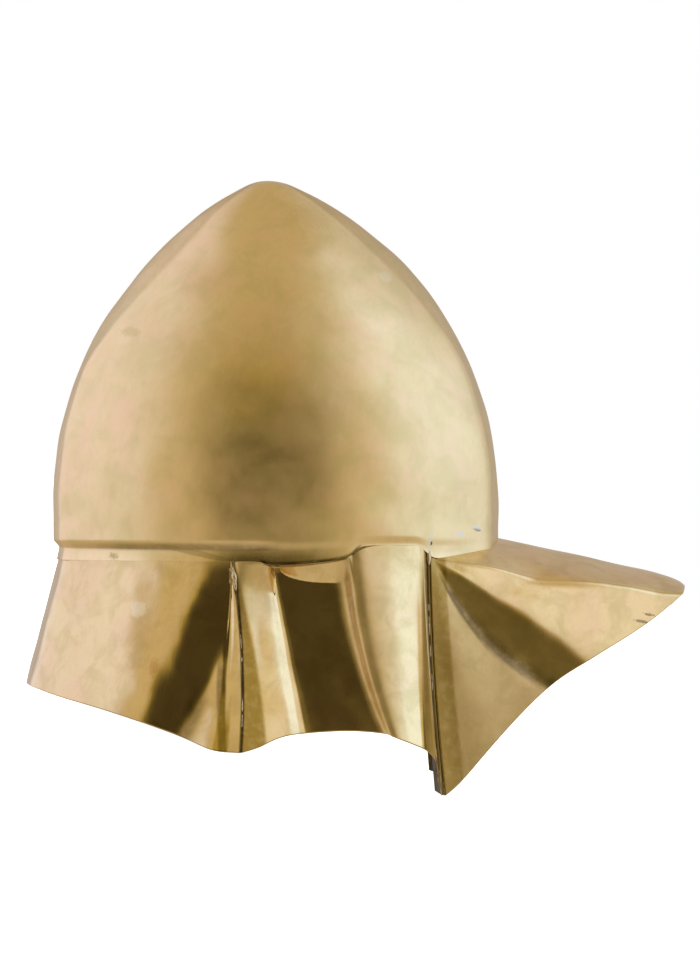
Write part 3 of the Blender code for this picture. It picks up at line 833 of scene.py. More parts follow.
@dataclass
class EarPanel:
    """An ear panel: a recess under the skull's edge between two flared flanks."""

    soffit: float = 0.018  # share of the lines over which the recess goes in
    slope: float = 0.2  # the same for the flanks beside it
    corner: Span = (3.2, 4.0)  # fold where the recess starts, at the top and lower down
    corner_run: float = 0.2  # share of the lines over which its edge curves
    corner_round: float = 0.5  # half the width of its edge, in folds
    recess_end: Span = (6.6, 7.0)
    step: float = 0.5  # share of the way in that is a ledge right under the skull's edge
    facet: float = 0.12  # share of the lines under the ledge that slopes on inward
    facet_folds: Span = (4.3, 5.8)  # between which folds it widens
    # strips of painted shade beside the pleats, for the darker reflections there
    rear_strip: Strip = Strip(0.5, 13.5, 1.0)
    front_strip: Strip = Strip(3.0, 4.0, 0.45)
    ledge_folds: tuple[Span, Span] = ((2.8, 3.2), (6.3, 6.8))  # where the ledge gets painted shadow under the skull's edge
    riser_folds: tuple[Span, Span] = ((5.6, 6.1), (8.4, 9.4))  # satin rise ahead of the recess
    edge_folds: Span = (10.0, 10.8)  # where the satin beside the front pleat starts
    edge_satin: float = 0.8
    flank_rows: Span = (0.2, 0.5)  # where the satin top of the rear flank ends downward
    flank_folds: Span = (2.6, 3.6)  # and forward
    fold_round: float = 2.6  # rounding of the folds, in columns
    soft_round: float = 6.0  # the same for the folds ahead of the recess
    soft_folds: tuple[Span, Span] = ((6.3, 7.3), (9.0, 10.0))
    dent_depth: float = 0.05
    dent_size: float = 22.0
    dent_fade: float = 0.12  # share of the lines where the dents are whole
    length: float = 90.0  # rough length of the fold lines
    ledge_rows: tuple[float, float, int] = (0.005, 0.022, 5)  # more rows, close together, on the ledge
    pieces: int = 14
    rows: int = 96

    def undercut(self, fold: np.ndarray, down: np.ndarray) -> np.ndarray:
        """How far the panel stands out from its straight lines under the skull's edge.

        It starts on the edge itself and goes in by the lines' inset: part of the way as a
        ledge, and the rest as a facet that widens forward over the recess.

        Args:
            fold: each column's place among the fold lines.
            down: each row's share of the way down, as a column.

        Returns:
            The distance outward for each point.
        """
        insets = np.concatenate([[0.0], column(EAR_FOLDS, "inset")[:, 0], [0.0]])
        inset = monotone(np.arange(len(insets), dtype=float), insets, fold)[:, 0]
        limit = lerp(*self.corner, np.sqrt(np.clip(down / self.corner_run, 0.0, 1.0)))
        recess = smoothstep(-self.corner_round, self.corner_round, fold - limit)
        recess = recess * fading(*self.recess_end, fold)
        run = lerp(self.slope, self.soffit, recess)
        first, last = self.facet_folds
        widening = np.clip((fold - first) / (last - first), 0.0, 1.0)
        ledge = fading(0.0, 1.0, down / run)
        facet = 1.0 - np.clip(down / (self.soffit + self.facet * np.sqrt(widening)), 0.0, 1.0)
        share = 1.0 - recess * self.step * (widening > 0.0)
        return (share * ledge + (1.0 - share) * facet) * (1.0 - down) * inset

    def sheet(self, skull: Skull, side: Side) -> Sheet:
        """The panel of one side, from the rear pleat to the front one."""
        rows = np.sort(np.concatenate([edged(self.rows, self.length), np.linspace(*self.ledge_rows)]))
        down = rows[:, None]
        lines = joined(
            pleat_edge(REAR_PLEAT, REAR_PLEAT.half),
            fold_lines(EAR_FOLDS, skull),
            pleat_edge(FRONT_PLEAT, -FRONT_PLEAT.half),
        )
        face = blur(loft(lines, self.pieces, rows), self.fold_round, 1)
        fold = np.arange(face.shape[1]) / self.pieces
        softer = blur(face, self.soft_round, 1)
        face = lerp(face, softer, between(fold, *self.soft_folds)[:, None])
        face[..., 1] += self.undercut(fold, down)
        face = face * side.flip
        depth = self.dent_depth * smoothstep(0.0, self.dent_fade, down)
        face = hammered(face, depth, self.dent_size, seed=23)
        # painted shade beside the pleats, and darkening in the seams
        masks = brim_masks(face, self.rear_strip, self.front_strip)
        # painted shadow on the ledge right under the skull's edge
        under = fading(0.5 * self.soffit, self.soffit, down)
        raise_mask(masks, "grime", under * between(fold, *self.ledge_folds))
        top = fading(*self.flank_rows, down)
        raise_mask(
            masks,
            "satin",
            between(fold, *self.riser_folds),
            self.edge_satin * smoothstep(*self.edge_folds, fold),
            top * fading(*self.flank_folds, fold),
        )
        return Sheet(f"ear_panel_{side.name.lower()}_shell", face, "bright_brass", masks=masks)


@dataclass
class Visor:
    """The raised visor: a crowned top, a crease, and side wings that fan from the temples."""

    front_x: float = 220.4
    crown_power: float = 1.6  # roundness of the crown across
    edge_from: float = 0.012  # share of the front pleat above the wing
    fold_round: float = 1.6  # rounding of the folds, in columns
    fan_round: float = 3.0  # the same for the folds of the wings
    # strip of painted shade beside the front pleat, for the darker reflection there
    strip: Strip = Strip(9.0, 12.5, 0.9)
    flank_rays: Span = (5.0, 5.5)  # rays at which the satin flank with painted shade starts
    satin: float = 0.8
    # how strong the painted shade on the flank and on the bank is
    shade: float = 0.3
    bank_rays: tuple[Span, Span] = ((2.8, 4.0), (4.0, 4.4))  # bank over the valley with painted shade
    valley: float = 0.8  # how dark the painted dark reflection in the valley's lower part is
    valley_rays: Span = (4.7, 5.05)  # where that starts
    valley_end: Span = (5.55, 5.2)  # ray where it ends, at the temple and at the rim
    valley_round: float = 0.08
    valley_run: Span = (0.06, 0.2)  # shares of the lines over which it comes in
    dent_depth: float = 0.08
    dent_size: float = 30.0
    core: Point = (60.0, 0.0, -120.0)  # a point behind the outer face
    length: float = 130.0  # rough length of the crease
    across: int = 46
    pieces: int = 9
    rows: int = 104

    @staticmethod
    def top(x: np.ndarray, y: np.ndarray) -> np.ndarray:
        """Height of the upper face: its crease rises to the middle line as a crown."""
        rows = column(VISOR_STATIONS, "x", "y", "z", "middle_z")
        edge, low, high = monotone(rows[:, 0], rows[:, 1:], np.clip(x, rows[0, 0], rows[-1, 0])).T
        return low + (high - low) * (1.0 - np.clip(y / edge, 0.0, 1.0) ** Visor.crown_power)

    def crown(self, skull: Skull, share: np.ndarray, crease: np.ndarray) -> np.ndarray:
        """Upper face of one half, from the middle line to the crease.

        In plan it is ruled from the skull's foot to the rounded front edge, and sheared so
        that its last column follows the crease.
        """
        across = np.linspace(0.0, 1.0, self.across + 1)
        turn = across * skull.turn_at(VISOR_STATIONS[0].x)
        back = skull.section(turn, np.zeros_like(across), SHEET)[:, :2]
        end = crease[-1]
        front = np.stack([self.front_x - (self.front_x - end[0]) * across**2, across * end[1]], axis=-1)
        plan = lerp(back, front, share[:, None, None])
        straight = lerp(back[-1], front[-1], share[:, None])
        plan = plan + (crease[:, None, :2] - straight[:, None]) * across[:, None]
        height = self.top(plan[..., 0].ravel(), plan[..., 1].ravel()).reshape(plan.shape[:2])
        top = np.concatenate([plan, height[..., None]], axis=-1)
        top[:, -1] = crease
        return top

    def wing(self, share: np.ndarray, crease: np.ndarray) -> np.ndarray:
        """Side of one half: lines from the temple to the rim, its first column on the crease."""
        edge = pleat_edge(FRONT_PLEAT, FRONT_PLEAT.half, self.edge_from)
        rims = column(VISOR_RAYS, "x", "y", "z")
        fan = np.linspace(0.0, 1.0, len(rims) + 1)[:-1, None]
        swells = column(VISOR_RAYS, "droop", "swell", "droop") * np.array([-1.0, 1.0, -1.0])
        lines = joined((lerp(crease[0], edge[0][0], fan), rims, swells), edge)
        side = loft(lines, self.pieces, share)
        fade = (1.0 - np.linspace(0.0, 1.0, side.shape[1])) ** 2
        return side + (crease - side[:, 0])[:, None] * fade[:, None]

    def sheet(self, skull: Skull) -> Sheet:
        """The whole visor, from pleat to pleat over the crown."""
        share = edged(self.rows, self.length)
        stations = column(VISOR_STATIONS[:-1], "x", "y", "z")
        knots = np.arange(len(stations), dtype=float)
        crease = monotone(knots, stations, share * knots[-1])
        wing = blur(self.wing(share, crease), self.fan_round, 1)
        half = np.concatenate([self.crown(skull, share, crease), wing[:, 1:]], axis=1)
        face = blur(mirrored(half), self.fold_round, 1)
        face = hammered(face, self.dent_depth, self.dent_size, seed=31)
        # painted shade beside the front pleat, on the flank and on the bank, and a painted dark
        # reflection in the valley
        masks = brim_masks(face, front=self.strip)
        ray = (np.abs(np.arange(face.shape[1]) - face.shape[1] // 2) - self.across - 1) / self.pieces
        flank = smoothstep(*self.flank_rays, ray)
        raise_mask(masks, "satin", self.satin * flank)
        raise_mask(masks, "shade", self.shade * flank, self.shade * between(ray, *self.bank_rays))
        down = share[:, None]
        away = ray - lerp(*self.valley_end, down)
        dark = smoothstep(*self.valley_rays, ray) * smoothstep(*self.valley_run, down)
        dark = dark * fading(-self.valley_round, self.valley_round, away)
        raise_mask(masks, "grime", self.valley * dark)
        return Sheet("visor_shell", face, "bright_brass", self.core, masks=masks)


@dataclass
class SeamStrip:
    """The narrow strip in a front pleat, between the ear panel and the visor, dark with painted shade."""

    depth: float = 9.0
    lean: float = 3.2  # how far back its inner edge lies
    outer: Span = (-0.01, 0.998)  # its run along the pleat at the outer edge
    inner: Span = (0.0, 0.985)
    clean: float = 0.12  # share of its depth at the outer edge that is not painted dark
    core: Point = (400.0, 0.0, 0.0)  # a point behind the outer face
    length: float = 110.0  # rough length of the pleat
    pieces: int = 6
    rows: int = 60

    def sheet(self, side: Side) -> Sheet:
        """The strip of one side: two edges ruled across, the outer one on the pleat's line."""
        start, tip, bow = pleat_edge(FRONT_PLEAT, -STRIP / 2.0)
        rows = edged(self.rows, self.length)[:, None]
        edges = []
        for depth, (first, last) in ((0.0, self.outer), (1.0, self.inner)):
            share = lerp(first, last, rows)
            line = bowed(start, tip, bow, share)
            inward = np.array([-self.lean, -self.depth, 0.0]) * (0.5 + 0.5 * share)
            edges.append(line + depth * inward)
        across = edged(self.pieces, self.depth)[None, :, None]
        face = lerp(edges[0][:, None], edges[1][:, None], across) * side.flip
        # painted shade deeper in the pleat, with a brown outer edge
        shaded = np.broadcast_to(smoothstep(0.0, self.clean, across[0, :, 0]), face.shape[:2])
        masks = {"grime": shaded, "shade": 0.5 * (1.0 - shaded), "satin": np.zeros(face.shape[:2])}
        name = f"seam_strip_{side.name.lower()}_shell"
        return Sheet(name, face, "dull_brass", self.core, STRIP, masks=masks)


def fold_lines(folds: Sequence[Fold], skull: Skull) -> Lines:
    """Starts, ends and bows of a panel's fold lines."""
    turn, inset = column(folds, "turn", "inset").T
    starts = skull.foot_points(turn, inset)
    ends = column(folds, "x", "y", "z")
    bows = np.zeros_like(ends)
    bows[:, :2] = column(folds, "bow", "sag") * np.array([1.0, -1.0])
    return starts, ends, bows


def brim_masks(face: np.ndarray, rear: Strip | None = None, front: Strip | None = None) -> Masks:
    """Where a piece of the brim gets painted shade beside the pleats, where it is darker in the seams,
    and where it is satin.

    Args:
        face: the piece's outer face.
        rear: its strip of painted shade beside the rear pleat.
        front: its strip of painted shade beside the front pleat.

    Returns:
        The masks by name.
    """
    shade = np.zeros(face.shape[:2])
    grime = np.zeros(face.shape[:2])
    folded = face.copy()
    folded[..., 1] = np.abs(face[..., 1])
    for pleat, strip in ((REAR_PLEAT, rear), (FRONT_PLEAT, front)):
        start, tip, bow = (part[0] for part in pleat_edge(pleat, 0.0))
        run = tip - start
        share = np.clip((folded - start) @ run / (run @ run), 0.0, 1.0)
        line = bowed(start, tip, bow, share[..., None])
        away = np.abs(folded[..., 0] - line[..., 0])
        if strip is not None:
            edge = lerp(strip.start, strip.tip, share)
            strip_shade = fading(-STRIP_ROUND, STRIP_ROUND, away - edge)
            shade = np.maximum(shade, strip.share * strip_shade)
        # darkening in the seam: partly painted shade, partly dirt
        seam_dark = fading(*SEAM_DARKENING, np.linalg.norm(folded - line, axis=-1))
        grime = np.maximum(grime, seam_dark)
    satin = TOP_SATIN * smoothstep(*TOP_HEIGHTS, face[..., 2])
    shade[-1] = np.maximum(shade[-1], RIM_SHADE)
    return {"shade": shade, "grime": grime, "satin": satin}


class Bead(NamedTuple):
    """A run of solder on a pleat: where it starts and ends along it, and its size."""

    first: float
    last: float
    radius: float
    forward: float = 0.0  # how far ahead of the pleat's line it lies


REAR_BEADS = (
    Bead(0.02, 0.15, 1.1, -0.4),
    Bead(0.38, 0.46, 0.30),
    Bead(0.50, 0.53, 0.26),
    Bead(0.72, 0.79, 0.32),
    Bead(0.80, 0.87, 0.32),
)

FRONT_BEADS = (
    Bead(-0.05, 0.05, 1.1),
    Bead(0.21, 0.24, 0.36, -0.7),
    Bead(0.26, 0.34, 0.36, -0.7),
    Bead(0.38, 0.43, 0.32, -0.7),
    Bead(0.50, 0.57, 0.28, -0.7),
)


@dataclass
class Solder:
    """Solder left in a pleat: a few short beads along its line."""

    steps: int = 14
    sides: int = 8
    waver: float = 0.25  # how much the radius wavers
    waver_length: float = 4.0
    blunt: float = 0.02  # share of its run where an end is cut off

    def build(
        self,
        pose: RestPose,
        name: str,
        pleat: PleatLine,
        beads: Sequence[Bead],
        side: Side,
        finish: bpy.types.Material,
    ) -> None:
        """Make the beads of one pleat as one object.

        A bead is a tube whose radius rises from a point and falls to a point again as the
        root of the sine, and wavers a little.

        Args:
            pose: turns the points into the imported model's frame.
            name: the object's name.
            pleat: the line that the beads lie on.
            beads: the runs of solder.
            side: the side of the helmet.
            finish: the material.
        """
        start, tip, bow = pleat_edge(pleat, 0.0)
        share = np.linspace(0.0, 1.0, self.steps)[:, None]
        angle = np.linspace(0.0, 2.0 * math.pi, self.sides, endpoint=False)
        ring = np.stack([np.cos(angle), np.sin(angle), np.zeros_like(angle)], axis=-1)
        index = np.arange(self.steps * self.sides).reshape(self.steps, self.sides)
        right = np.roll(index, -1, axis=1)
        tube = np.stack([index[:-1], right[:-1], right[1:], index[1:]], axis=-1).reshape(-1, 4)
        points, faces, caps = [], [], []
        for number, bead in enumerate(beads):
            line = bowed(start, tip, bow, lerp(bead.first, bead.last, share))
            line = line + np.array([bead.forward, 0.0, 0.0])
            swell = np.sqrt(np.sin(math.pi * np.clip(share, self.blunt, 1.0 - self.blunt)))
            waver = self.waver * ripple(line, self.waver_length, seed=number)[:, None]
            radius = bead.radius * swell * (1.0 + waver)
            points.append((line[:, None] + radius[..., None] * ring).reshape(-1, 3))
            faces.append(tube + number * index.size)
            caps.append(np.stack([index[0, ::-1], index[-1]]) + number * index.size)
        place = np.concatenate(points) * side.flip
        parts = [np.concatenate(faces), np.concatenate(caps)]
        if side is Side.RIGHT:
            parts = [part[:, ::-1] for part in parts]
        thing = add_mesh(name, pose.place(place), parts, {})
        thing.data.materials.append(finish)
        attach(thing, "root")
        LOG.info("%s: %d beads", name, len(beads))


# ---------------------------------------------------------------- shader wiring and finishes

Colour = tuple[float, float, float]
Socket = bpy.types.NodeSocket
Value = Socket | float | Colour


@dataclass
class Wiring:
    """Short calls that add and link the nodes of one tree."""

    tree: bpy.types.NodeTree

    def node(self, kind: str, **settings: object) -> bpy.types.Node:
        """A new node with its properties set."""
        made = self.tree.nodes.new(kind)
        for title, value in settings.items():
            setattr(made, title, value)
        return made

    def feed(self, socket: Socket, value: Value) -> None:
        """Link a socket to an input, or set the input's own value."""
        if isinstance(value, Socket):
            self.tree.links.new(value, socket)
        elif socket.type == "RGBA":
            socket.default_value = (*value, 1.0)
        else:
            socket.default_value = value

    def run(
        self, kind: str, output: str | int, inputs: dict[str | int, Value], **settings: object
    ) -> Socket:
        """Add a node, feed its inputs by name or number, and give one of its outputs."""
        made = self.node(kind, **settings)
        for title, value in inputs.items():
            self.feed(made.inputs[title], value)
        return made.outputs[output]

    def math(self, operation: str, a: Value, b: Value = 0.0) -> Socket:
        """A Math node."""
        return self.run("ShaderNodeMath", 0, {0: a, 1: b}, operation=operation)

    def product(self, first: Value, *others: Value) -> Socket:
        """The product of some values."""
        for other in others:
            first = self.math("MULTIPLY", first, other)
        return first

    def vector(
        self, operation: str, a: Value, b: Value = (0.0, 0.0, 0.0), output: str | int = 0
    ) -> Socket:
        """A Vector Math node."""
        return self.run("ShaderNodeVectorMath", output, {0: a, 1: b}, operation=operation)

    def ease(self, value: Value, low: Value, high: Value, start: float = 0.0, end: float = 1.0) -> Socket:
        """A value eased from start at low to end at high."""
        inputs = {"Value": value, "From Min": low, "From Max": high, "To Min": start, "To Max": end}
        return self.run("ShaderNodeMapRange", "Result", inputs, interpolation_type="SMOOTHSTEP")

    def mix(self, factor: Value, a: Value, b: Value) -> Socket:
        """Two colours mixed."""
        made = self.node("ShaderNodeMix", data_type="RGBA")
        for number, value in ((0, factor), (6, a), (7, b)):
            self.feed(made.inputs[number], value)
        return made.outputs[2]

    def noise(self, place: Value, scale: Value, detail: float, rough: float, warp: float = 0.0) -> Socket:
        """The value of a Noise texture."""
        inputs = {"Vector": place, "Scale": scale, "Detail": detail}
        inputs |= {"Roughness": rough, "Distortion": warp}
        return self.run("ShaderNodeTexNoise", 0, inputs)


def effect_group(
    name: str, inputs: dict[str, str], output: str
) -> tuple[Wiring, bpy.types.Node, bpy.types.Node]:
    """An empty node group with named inputs and one float output.

    Args:
        name: the group's name.
        inputs: socket names and their types.
        output: the output's name.

    Returns:
        Its wiring, its input node and its output node.
    """
    tree = bpy.data.node_groups.new(name, "ShaderNodeTree")
    for title, kind in inputs.items():
        tree.interface.new_socket(title, in_out="INPUT", socket_type=kind)
    tree.interface.new_socket(output, in_out="OUTPUT", socket_type="NodeSocketFloat")
    wiring = Wiring(tree)
    return wiring, wiring.node("NodeGroupInput"), wiring.node("NodeGroupOutput")


@dataclass
class Effects:
    """The node groups that the finishes share, built once."""

    clouds: bpy.types.NodeTree
    strokes: bpy.types.NodeTree
    mark: bpy.types.NodeTree

    @classmethod
    def built(cls) -> Effects:
        """Build the groups."""
        return cls(cls.cloud_group(), cls.stroke_group(), cls.mark_group())

    @staticmethod
    def cloud_group() -> bpy.types.NodeTree:
        """Soft-edged blotches: noise eased through its middle value."""
        floats = dict.fromkeys(("Scale", "Middle", "Softness"), "NodeSocketFloat")
        inputs = {"Vector": "NodeSocketVector", **floats}
        wiring, given, result = effect_group("polish_clouds", inputs, "Mask")
        scale = given.outputs["Scale"]
        value = wiring.noise(given.outputs["Vector"], scale, detail=5.0, rough=0.58, warp=0.5)
        low = wiring.math("SUBTRACT", given.outputs["Middle"], given.outputs["Softness"])
        high = wiring.math("ADD", given.outputs["Middle"], given.outputs["Softness"])
        wiring.feed(result.inputs["Mask"], wiring.ease(value, low, high))
        return wiring.tree

    @staticmethod
    def stroke_group() -> bpy.types.NodeTree:
        """Fine polishing lines: noise squeezed along one direction, bent by a slow noise."""
        inputs = dict.fromkeys(("Vector", "Squeeze"), "NodeSocketVector") | {"Bend": "NodeSocketFloat"}
        wiring, given, result = effect_group("polish_strokes", inputs, "Height")
        slow = {"Vector": given.outputs["Vector"], "Scale": 11.0, "Detail": 2.0}
        bend = {0: wiring.run("ShaderNodeTexNoise", "Color", slow), 3: given.outputs["Bend"]}
        bent = wiring.run("ShaderNodeVectorMath", 0, bend, operation="SCALE")
        place = wiring.vector("ADD", given.outputs["Vector"], bent)
        place = wiring.vector("MULTIPLY", place, given.outputs["Squeeze"])
        wiring.feed(result.inputs["Height"], wiring.noise(place, scale=1.0, detail=3.0, rough=0.6))
        return wiring.tree

    @staticmethod
    def mark_group() -> bpy.types.NodeTree:
        """A ragged spot: the distance from a centre in radii, broken up by noise."""
        vectors = dict.fromkeys(("Vector", "Centre", "Radii"), "NodeSocketVector")
        inputs = {**vectors, "Ragged": "NodeSocketFloat"}
        wiring, given, result = effect_group("surface_mark", inputs, "Mask")
        away = wiring.vector("SUBTRACT", given.outputs["Vector"], given.outputs["Centre"])
        scaled = wiring.vector("DIVIDE", away, given.outputs["Radii"])
        distance = wiring.vector("LENGTH", scaled, output="Value")
        torn = wiring.noise(given.outputs["Vector"], scale=900.0, detail=3.0, rough=0.7)
        torn = wiring.product(wiring.math("SUBTRACT", torn, 0.5), given.outputs["Ragged"])
        edge = wiring.ease(wiring.math("ADD", distance, torn), low=1.15, high=0.75)
        wiring.feed(result.inputs["Mask"], edge)
        return wiring.tree


class Mark(NamedTuple):
    """A spot on one side of the helmet, in the worn frame."""

    place: Point
    radii: Point
    colour: Colour
    roughness: float  # what it adds to the roughness
    ragged: float  # how far noise moves its edge
    strength: float  # how much of the metal's colour it covers


COVERS = (  # what is painted over the brass where a mask says so: the mask, its colour and how dense; mostly painted shade and painted darker reflections, with some dirt in the seams
    # brown painted shade, for darker reflections beside the pleats, on the band and on other parts
    ("shade", (0.37, 0.25, 0.06), 1.0),
    # near-black painted shade in the grooves, recesses, the valley and the pleats, with some dirt in the
    # seams
    ("grime", (0.06, 0.042, 0.018), 0.9),
)


@dataclass(frozen=True)
class BrassFinish:
    """One finish of the brass: its tints, its polish, its blotches, strokes and marks."""

    name: str
    colour: Colour
    warm: Colour  # tint of the pinkish blotches
    olive: Colour  # tint of the darker blotches
    roughness: float
    satin: float  # roughness where the piece's satin mask is 1
    haze: float  # what the blotches add to the roughness
    cloud_scale: float  # how fine the blotches are
    warm_share: float  # how strong the pinkish blotches are
    olive_share: float
    stroke_squeeze: Point  # how fine the strokes are along each axis
    stroke_height: float  # metres
    grain: float = 0.2  # how much the strokes darken the colour
    marks: tuple[Mark, ...] = ()

    def material(self, effects: Effects, pose: RestPose) -> bpy.types.Material:
        """Build the material.

        Args:
            effects: the shared node groups.
            pose: places the marks.

        Returns:
            The material.
        """
        made = bpy.data.materials.new(self.name)
        made.use_nodes = True
        wiring = Wiring(made.node_tree)
        shader = made.node_tree.nodes["Principled BSDF"]
        place = wiring.node("ShaderNodeTexCoord").outputs["Object"]

        def clouds(finer: float, middle: float, softness: float, most: float) -> Socket:
            scale = self.cloud_scale * finer
            inputs = {"Vector": place, "Scale": scale, "Middle": middle, "Softness": softness}
            cloud = wiring.run("ShaderNodeGroup", "Mask", inputs, node_tree=effects.clouds)
            return wiring.product(cloud, most)

        def mask(title: str) -> Socket:
            return wiring.run("ShaderNodeAttribute", "Fac", {}, attribute_name=title)

        warm = clouds(finer=1.0, middle=0.52, softness=0.14, most=self.warm_share)
        olive = clouds(finer=2.3, middle=0.54, softness=0.12, most=self.olive_share)
        haze = clouds(finer=1.6, middle=0.5, softness=0.2, most=self.haze)
        colour = wiring.mix(olive, wiring.mix(warm, self.colour, self.warm), self.olive)
        lines = {"Vector": place, "Squeeze": self.stroke_squeeze, "Bend": 0.02}
        strokes = wiring.run("ShaderNodeGroup", "Height", lines, node_tree=effects.strokes)
        grain = wiring.product(wiring.ease(strokes, low=0.42, high=0.72), self.grain)
        colour = wiring.mix(grain, colour, self.olive)
        polish = wiring.ease(mask("satin"), 0.0, 1.0, self.roughness, self.satin)
        rough = wiring.math("ADD", polish, haze)
        torn = wiring.noise(place, scale=240.0, detail=4.0, rough=0.65)
        torn = wiring.ease(torn, low=0.25, high=0.6, start=0.75, end=1.0)
        # paint the covers into the colour: painted shade and painted darker reflections, with some dirt
        # in the seams
        for title, tint, most in COVERS:
            colour = wiring.mix(wiring.product(mask(title), torn, most), colour, tint)

        for mark in self.marks:
            inputs = {
                "Vector": place,
                "Centre": tuple(pose.place(np.array(mark.place))),
                "Radii": tuple(r * MM for r in mark.radii),
                "Ragged": mark.ragged,
            }
            spot = wiring.run("ShaderNodeGroup", "Mask", inputs, node_tree=effects.mark)
            spot = wiring.product(spot, mark.strength)
            colour = wiring.mix(spot, colour, mark.colour)
            rough = wiring.math("ADD", rough, wiring.product(spot, mark.roughness))

        relief = {"Height": strokes, "Distance": self.stroke_height, "Strength": 1.0}
        bump = wiring.run("ShaderNodeBump", "Normal", relief)
        results = {"Base Color": colour, "Roughness": rough, "Normal": bump, "Metallic": 1.0}
        for title, value in results.items():
            wiring.feed(shader.inputs[title], value)
        return made


SATIN = BrassFinish(
    name="satin_brass",
    colour=(0.83, 0.66, 0.36),
    warm=(0.86, 0.62, 0.38),
    olive=(0.72, 0.59, 0.30),
    roughness=0.16,
    satin=0.34,
    haze=0.08,
    cloud_scale=26.0,
    warm_share=0.75,
    olive_share=0.7,
    stroke_squeeze=(420.0, 420.0, 120.0),
    stroke_height=0.00003,
    grain=0.3,
    marks=(
        Mark((98.7, -53.9, 6.4), (2.4, 4.0, 1.4), (0.74, 0.72, 0.66), 0.1, 1.2, 0.8),
        Mark((108.5, -43.5, 8.5), (3.2, 4.0, 1.0), (0.30, 0.27, 0.20), 0.1, 1.6, 0.8),
        Mark((108.5, -43.5, 9.6), (4.0, 4.0, 1.2), (0.76, 0.74, 0.68), 0.1, 1.2, 0.7),
        Mark((82.0, -66.0, 2.5), (1.1, 4.0, 6.0), (0.80, 0.72, 0.56), 0.1, 0.8, 0.7),
        Mark((82.8, -66.0, 1.6), (0.5, 4.0, 1.2), (0.12, 0.10, 0.06), 0.1, 0.8, 0.9),
        Mark((18.6, -26.0, 174.0), (12.0, 12.0, 8.0), (0.56, 0.42, 0.18), 0.1, 2.4, 0.22),
        Mark((-76.8, -46.0, 113.6), (6.5, 9.0, 2.6), (0.54, 0.40, 0.18), 0.1, 2.4, 0.3),
        Mark((59.2, -36.0, 143.6), (4.0, 8.0, 3.4), (0.90, 0.82, 0.62), 0.1, 1.2, 0.3),
        Mark((-85.5, -66.0, -4.8), (3.4, 7.0, 2.2), (0.34, 0.27, 0.10), 0.1, 1.8, 0.6),
        # painted shade: a dark line along the groove over the neck guard
        Mark((-41.0, -88.0, -3.0), (26.0, 12.0, 1.6), (0.40, 0.31, 0.12), 0.1, 0.8, 0.5),
    ),
)
BRIGHT = BrassFinish(
    name="bright_brass",
    colour=(0.82, 0.65, 0.35),
    warm=(0.80, 0.58, 0.34),
    olive=(0.58, 0.45, 0.20),
    roughness=0.10,
    satin=0.40,
    haze=0.05,
    cloud_scale=30.0,
    warm_share=0.8,
    olive_share=0.5,
    stroke_squeeze=(900.0, 900.0, 110.0),
    stroke_height=0.00001,
    grain=0.14,
    marks=(
        Mark((195.0, -47.0, -40.0), (4.6, 8.0, 0.8), (0.16, 0.12, 0.05), 0.2, 2.4, 0.7),
        Mark((199.0, -44.0, -36.5), (3.2, 8.0, 0.7), (0.16, 0.12, 0.05), 0.2, 2.4, 0.7),
        Mark((-71.0, -83.0, -32.4), (4.4, 10.0, 4.4), (0.88, 0.80, 0.58), 0.1, 1.8, 0.5),
        Mark((-62.0, -88.0, -63.0), (3.0, 10.0, 6.0), (0.62, 0.36, 0.12), 0.1, 1.6, 0.5),
    ),
)
INSIDE = BrassFinish(
    name="inner_brass",
    colour=(0.60, 0.45, 0.23),
    warm=(0.62, 0.40, 0.22),
    olive=(0.42, 0.34, 0.16),
    roughness=0.42,
    satin=0.45,
    haze=0.14,
    cloud_scale=34.0,
    warm_share=0.6,
    olive_share=0.7,
    stroke_squeeze=(300.0, 300.0, 300.0),
    stroke_height=0.00005,
)
# dull brass darkened by painted shade, for the shadow inside the front pleats
DULL_SHADED = BrassFinish(
    name="dull_brass",
    colour=(0.18, 0.14, 0.06),
    warm=(0.22, 0.16, 0.06),
    olive=(0.09, 0.07, 0.03),
    roughness=0.40,
    satin=0.40,
    haze=0.15,
    cloud_scale=60.0,
    warm_share=0.5,
    olive_share=0.6,
    stroke_squeeze=(500.0, 500.0, 500.0),
    stroke_height=0.00003,
)
SOLDER = BrassFinish(
    name="solder",
    colour=(0.72, 0.62, 0.44),
    warm=(0.74, 0.58, 0.36),
    olive=(0.36, 0.29, 0.17),
    roughness=0.28,
    satin=0.28,
    haze=0.15,
    cloud_scale=200.0,
    warm_share=0.5,
    olive_share=0.6,
    stroke_squeeze=(900.0, 900.0, 900.0),
    stroke_height=0.00005,
)


# ---------------------------------------------------------------- studio


class Panel(NamedTuple):
    """One lit or dark part of the light tent, seen from the helmet.

    Azimuth is 0 towards the camera and grows towards the front of the helmet; elevation is 0
    level with the camera. Both are in degrees, and the edges are as wide as soft says.
    """

    azimuth: Span
    elevation: Span
    soft: float
    colour: Colour


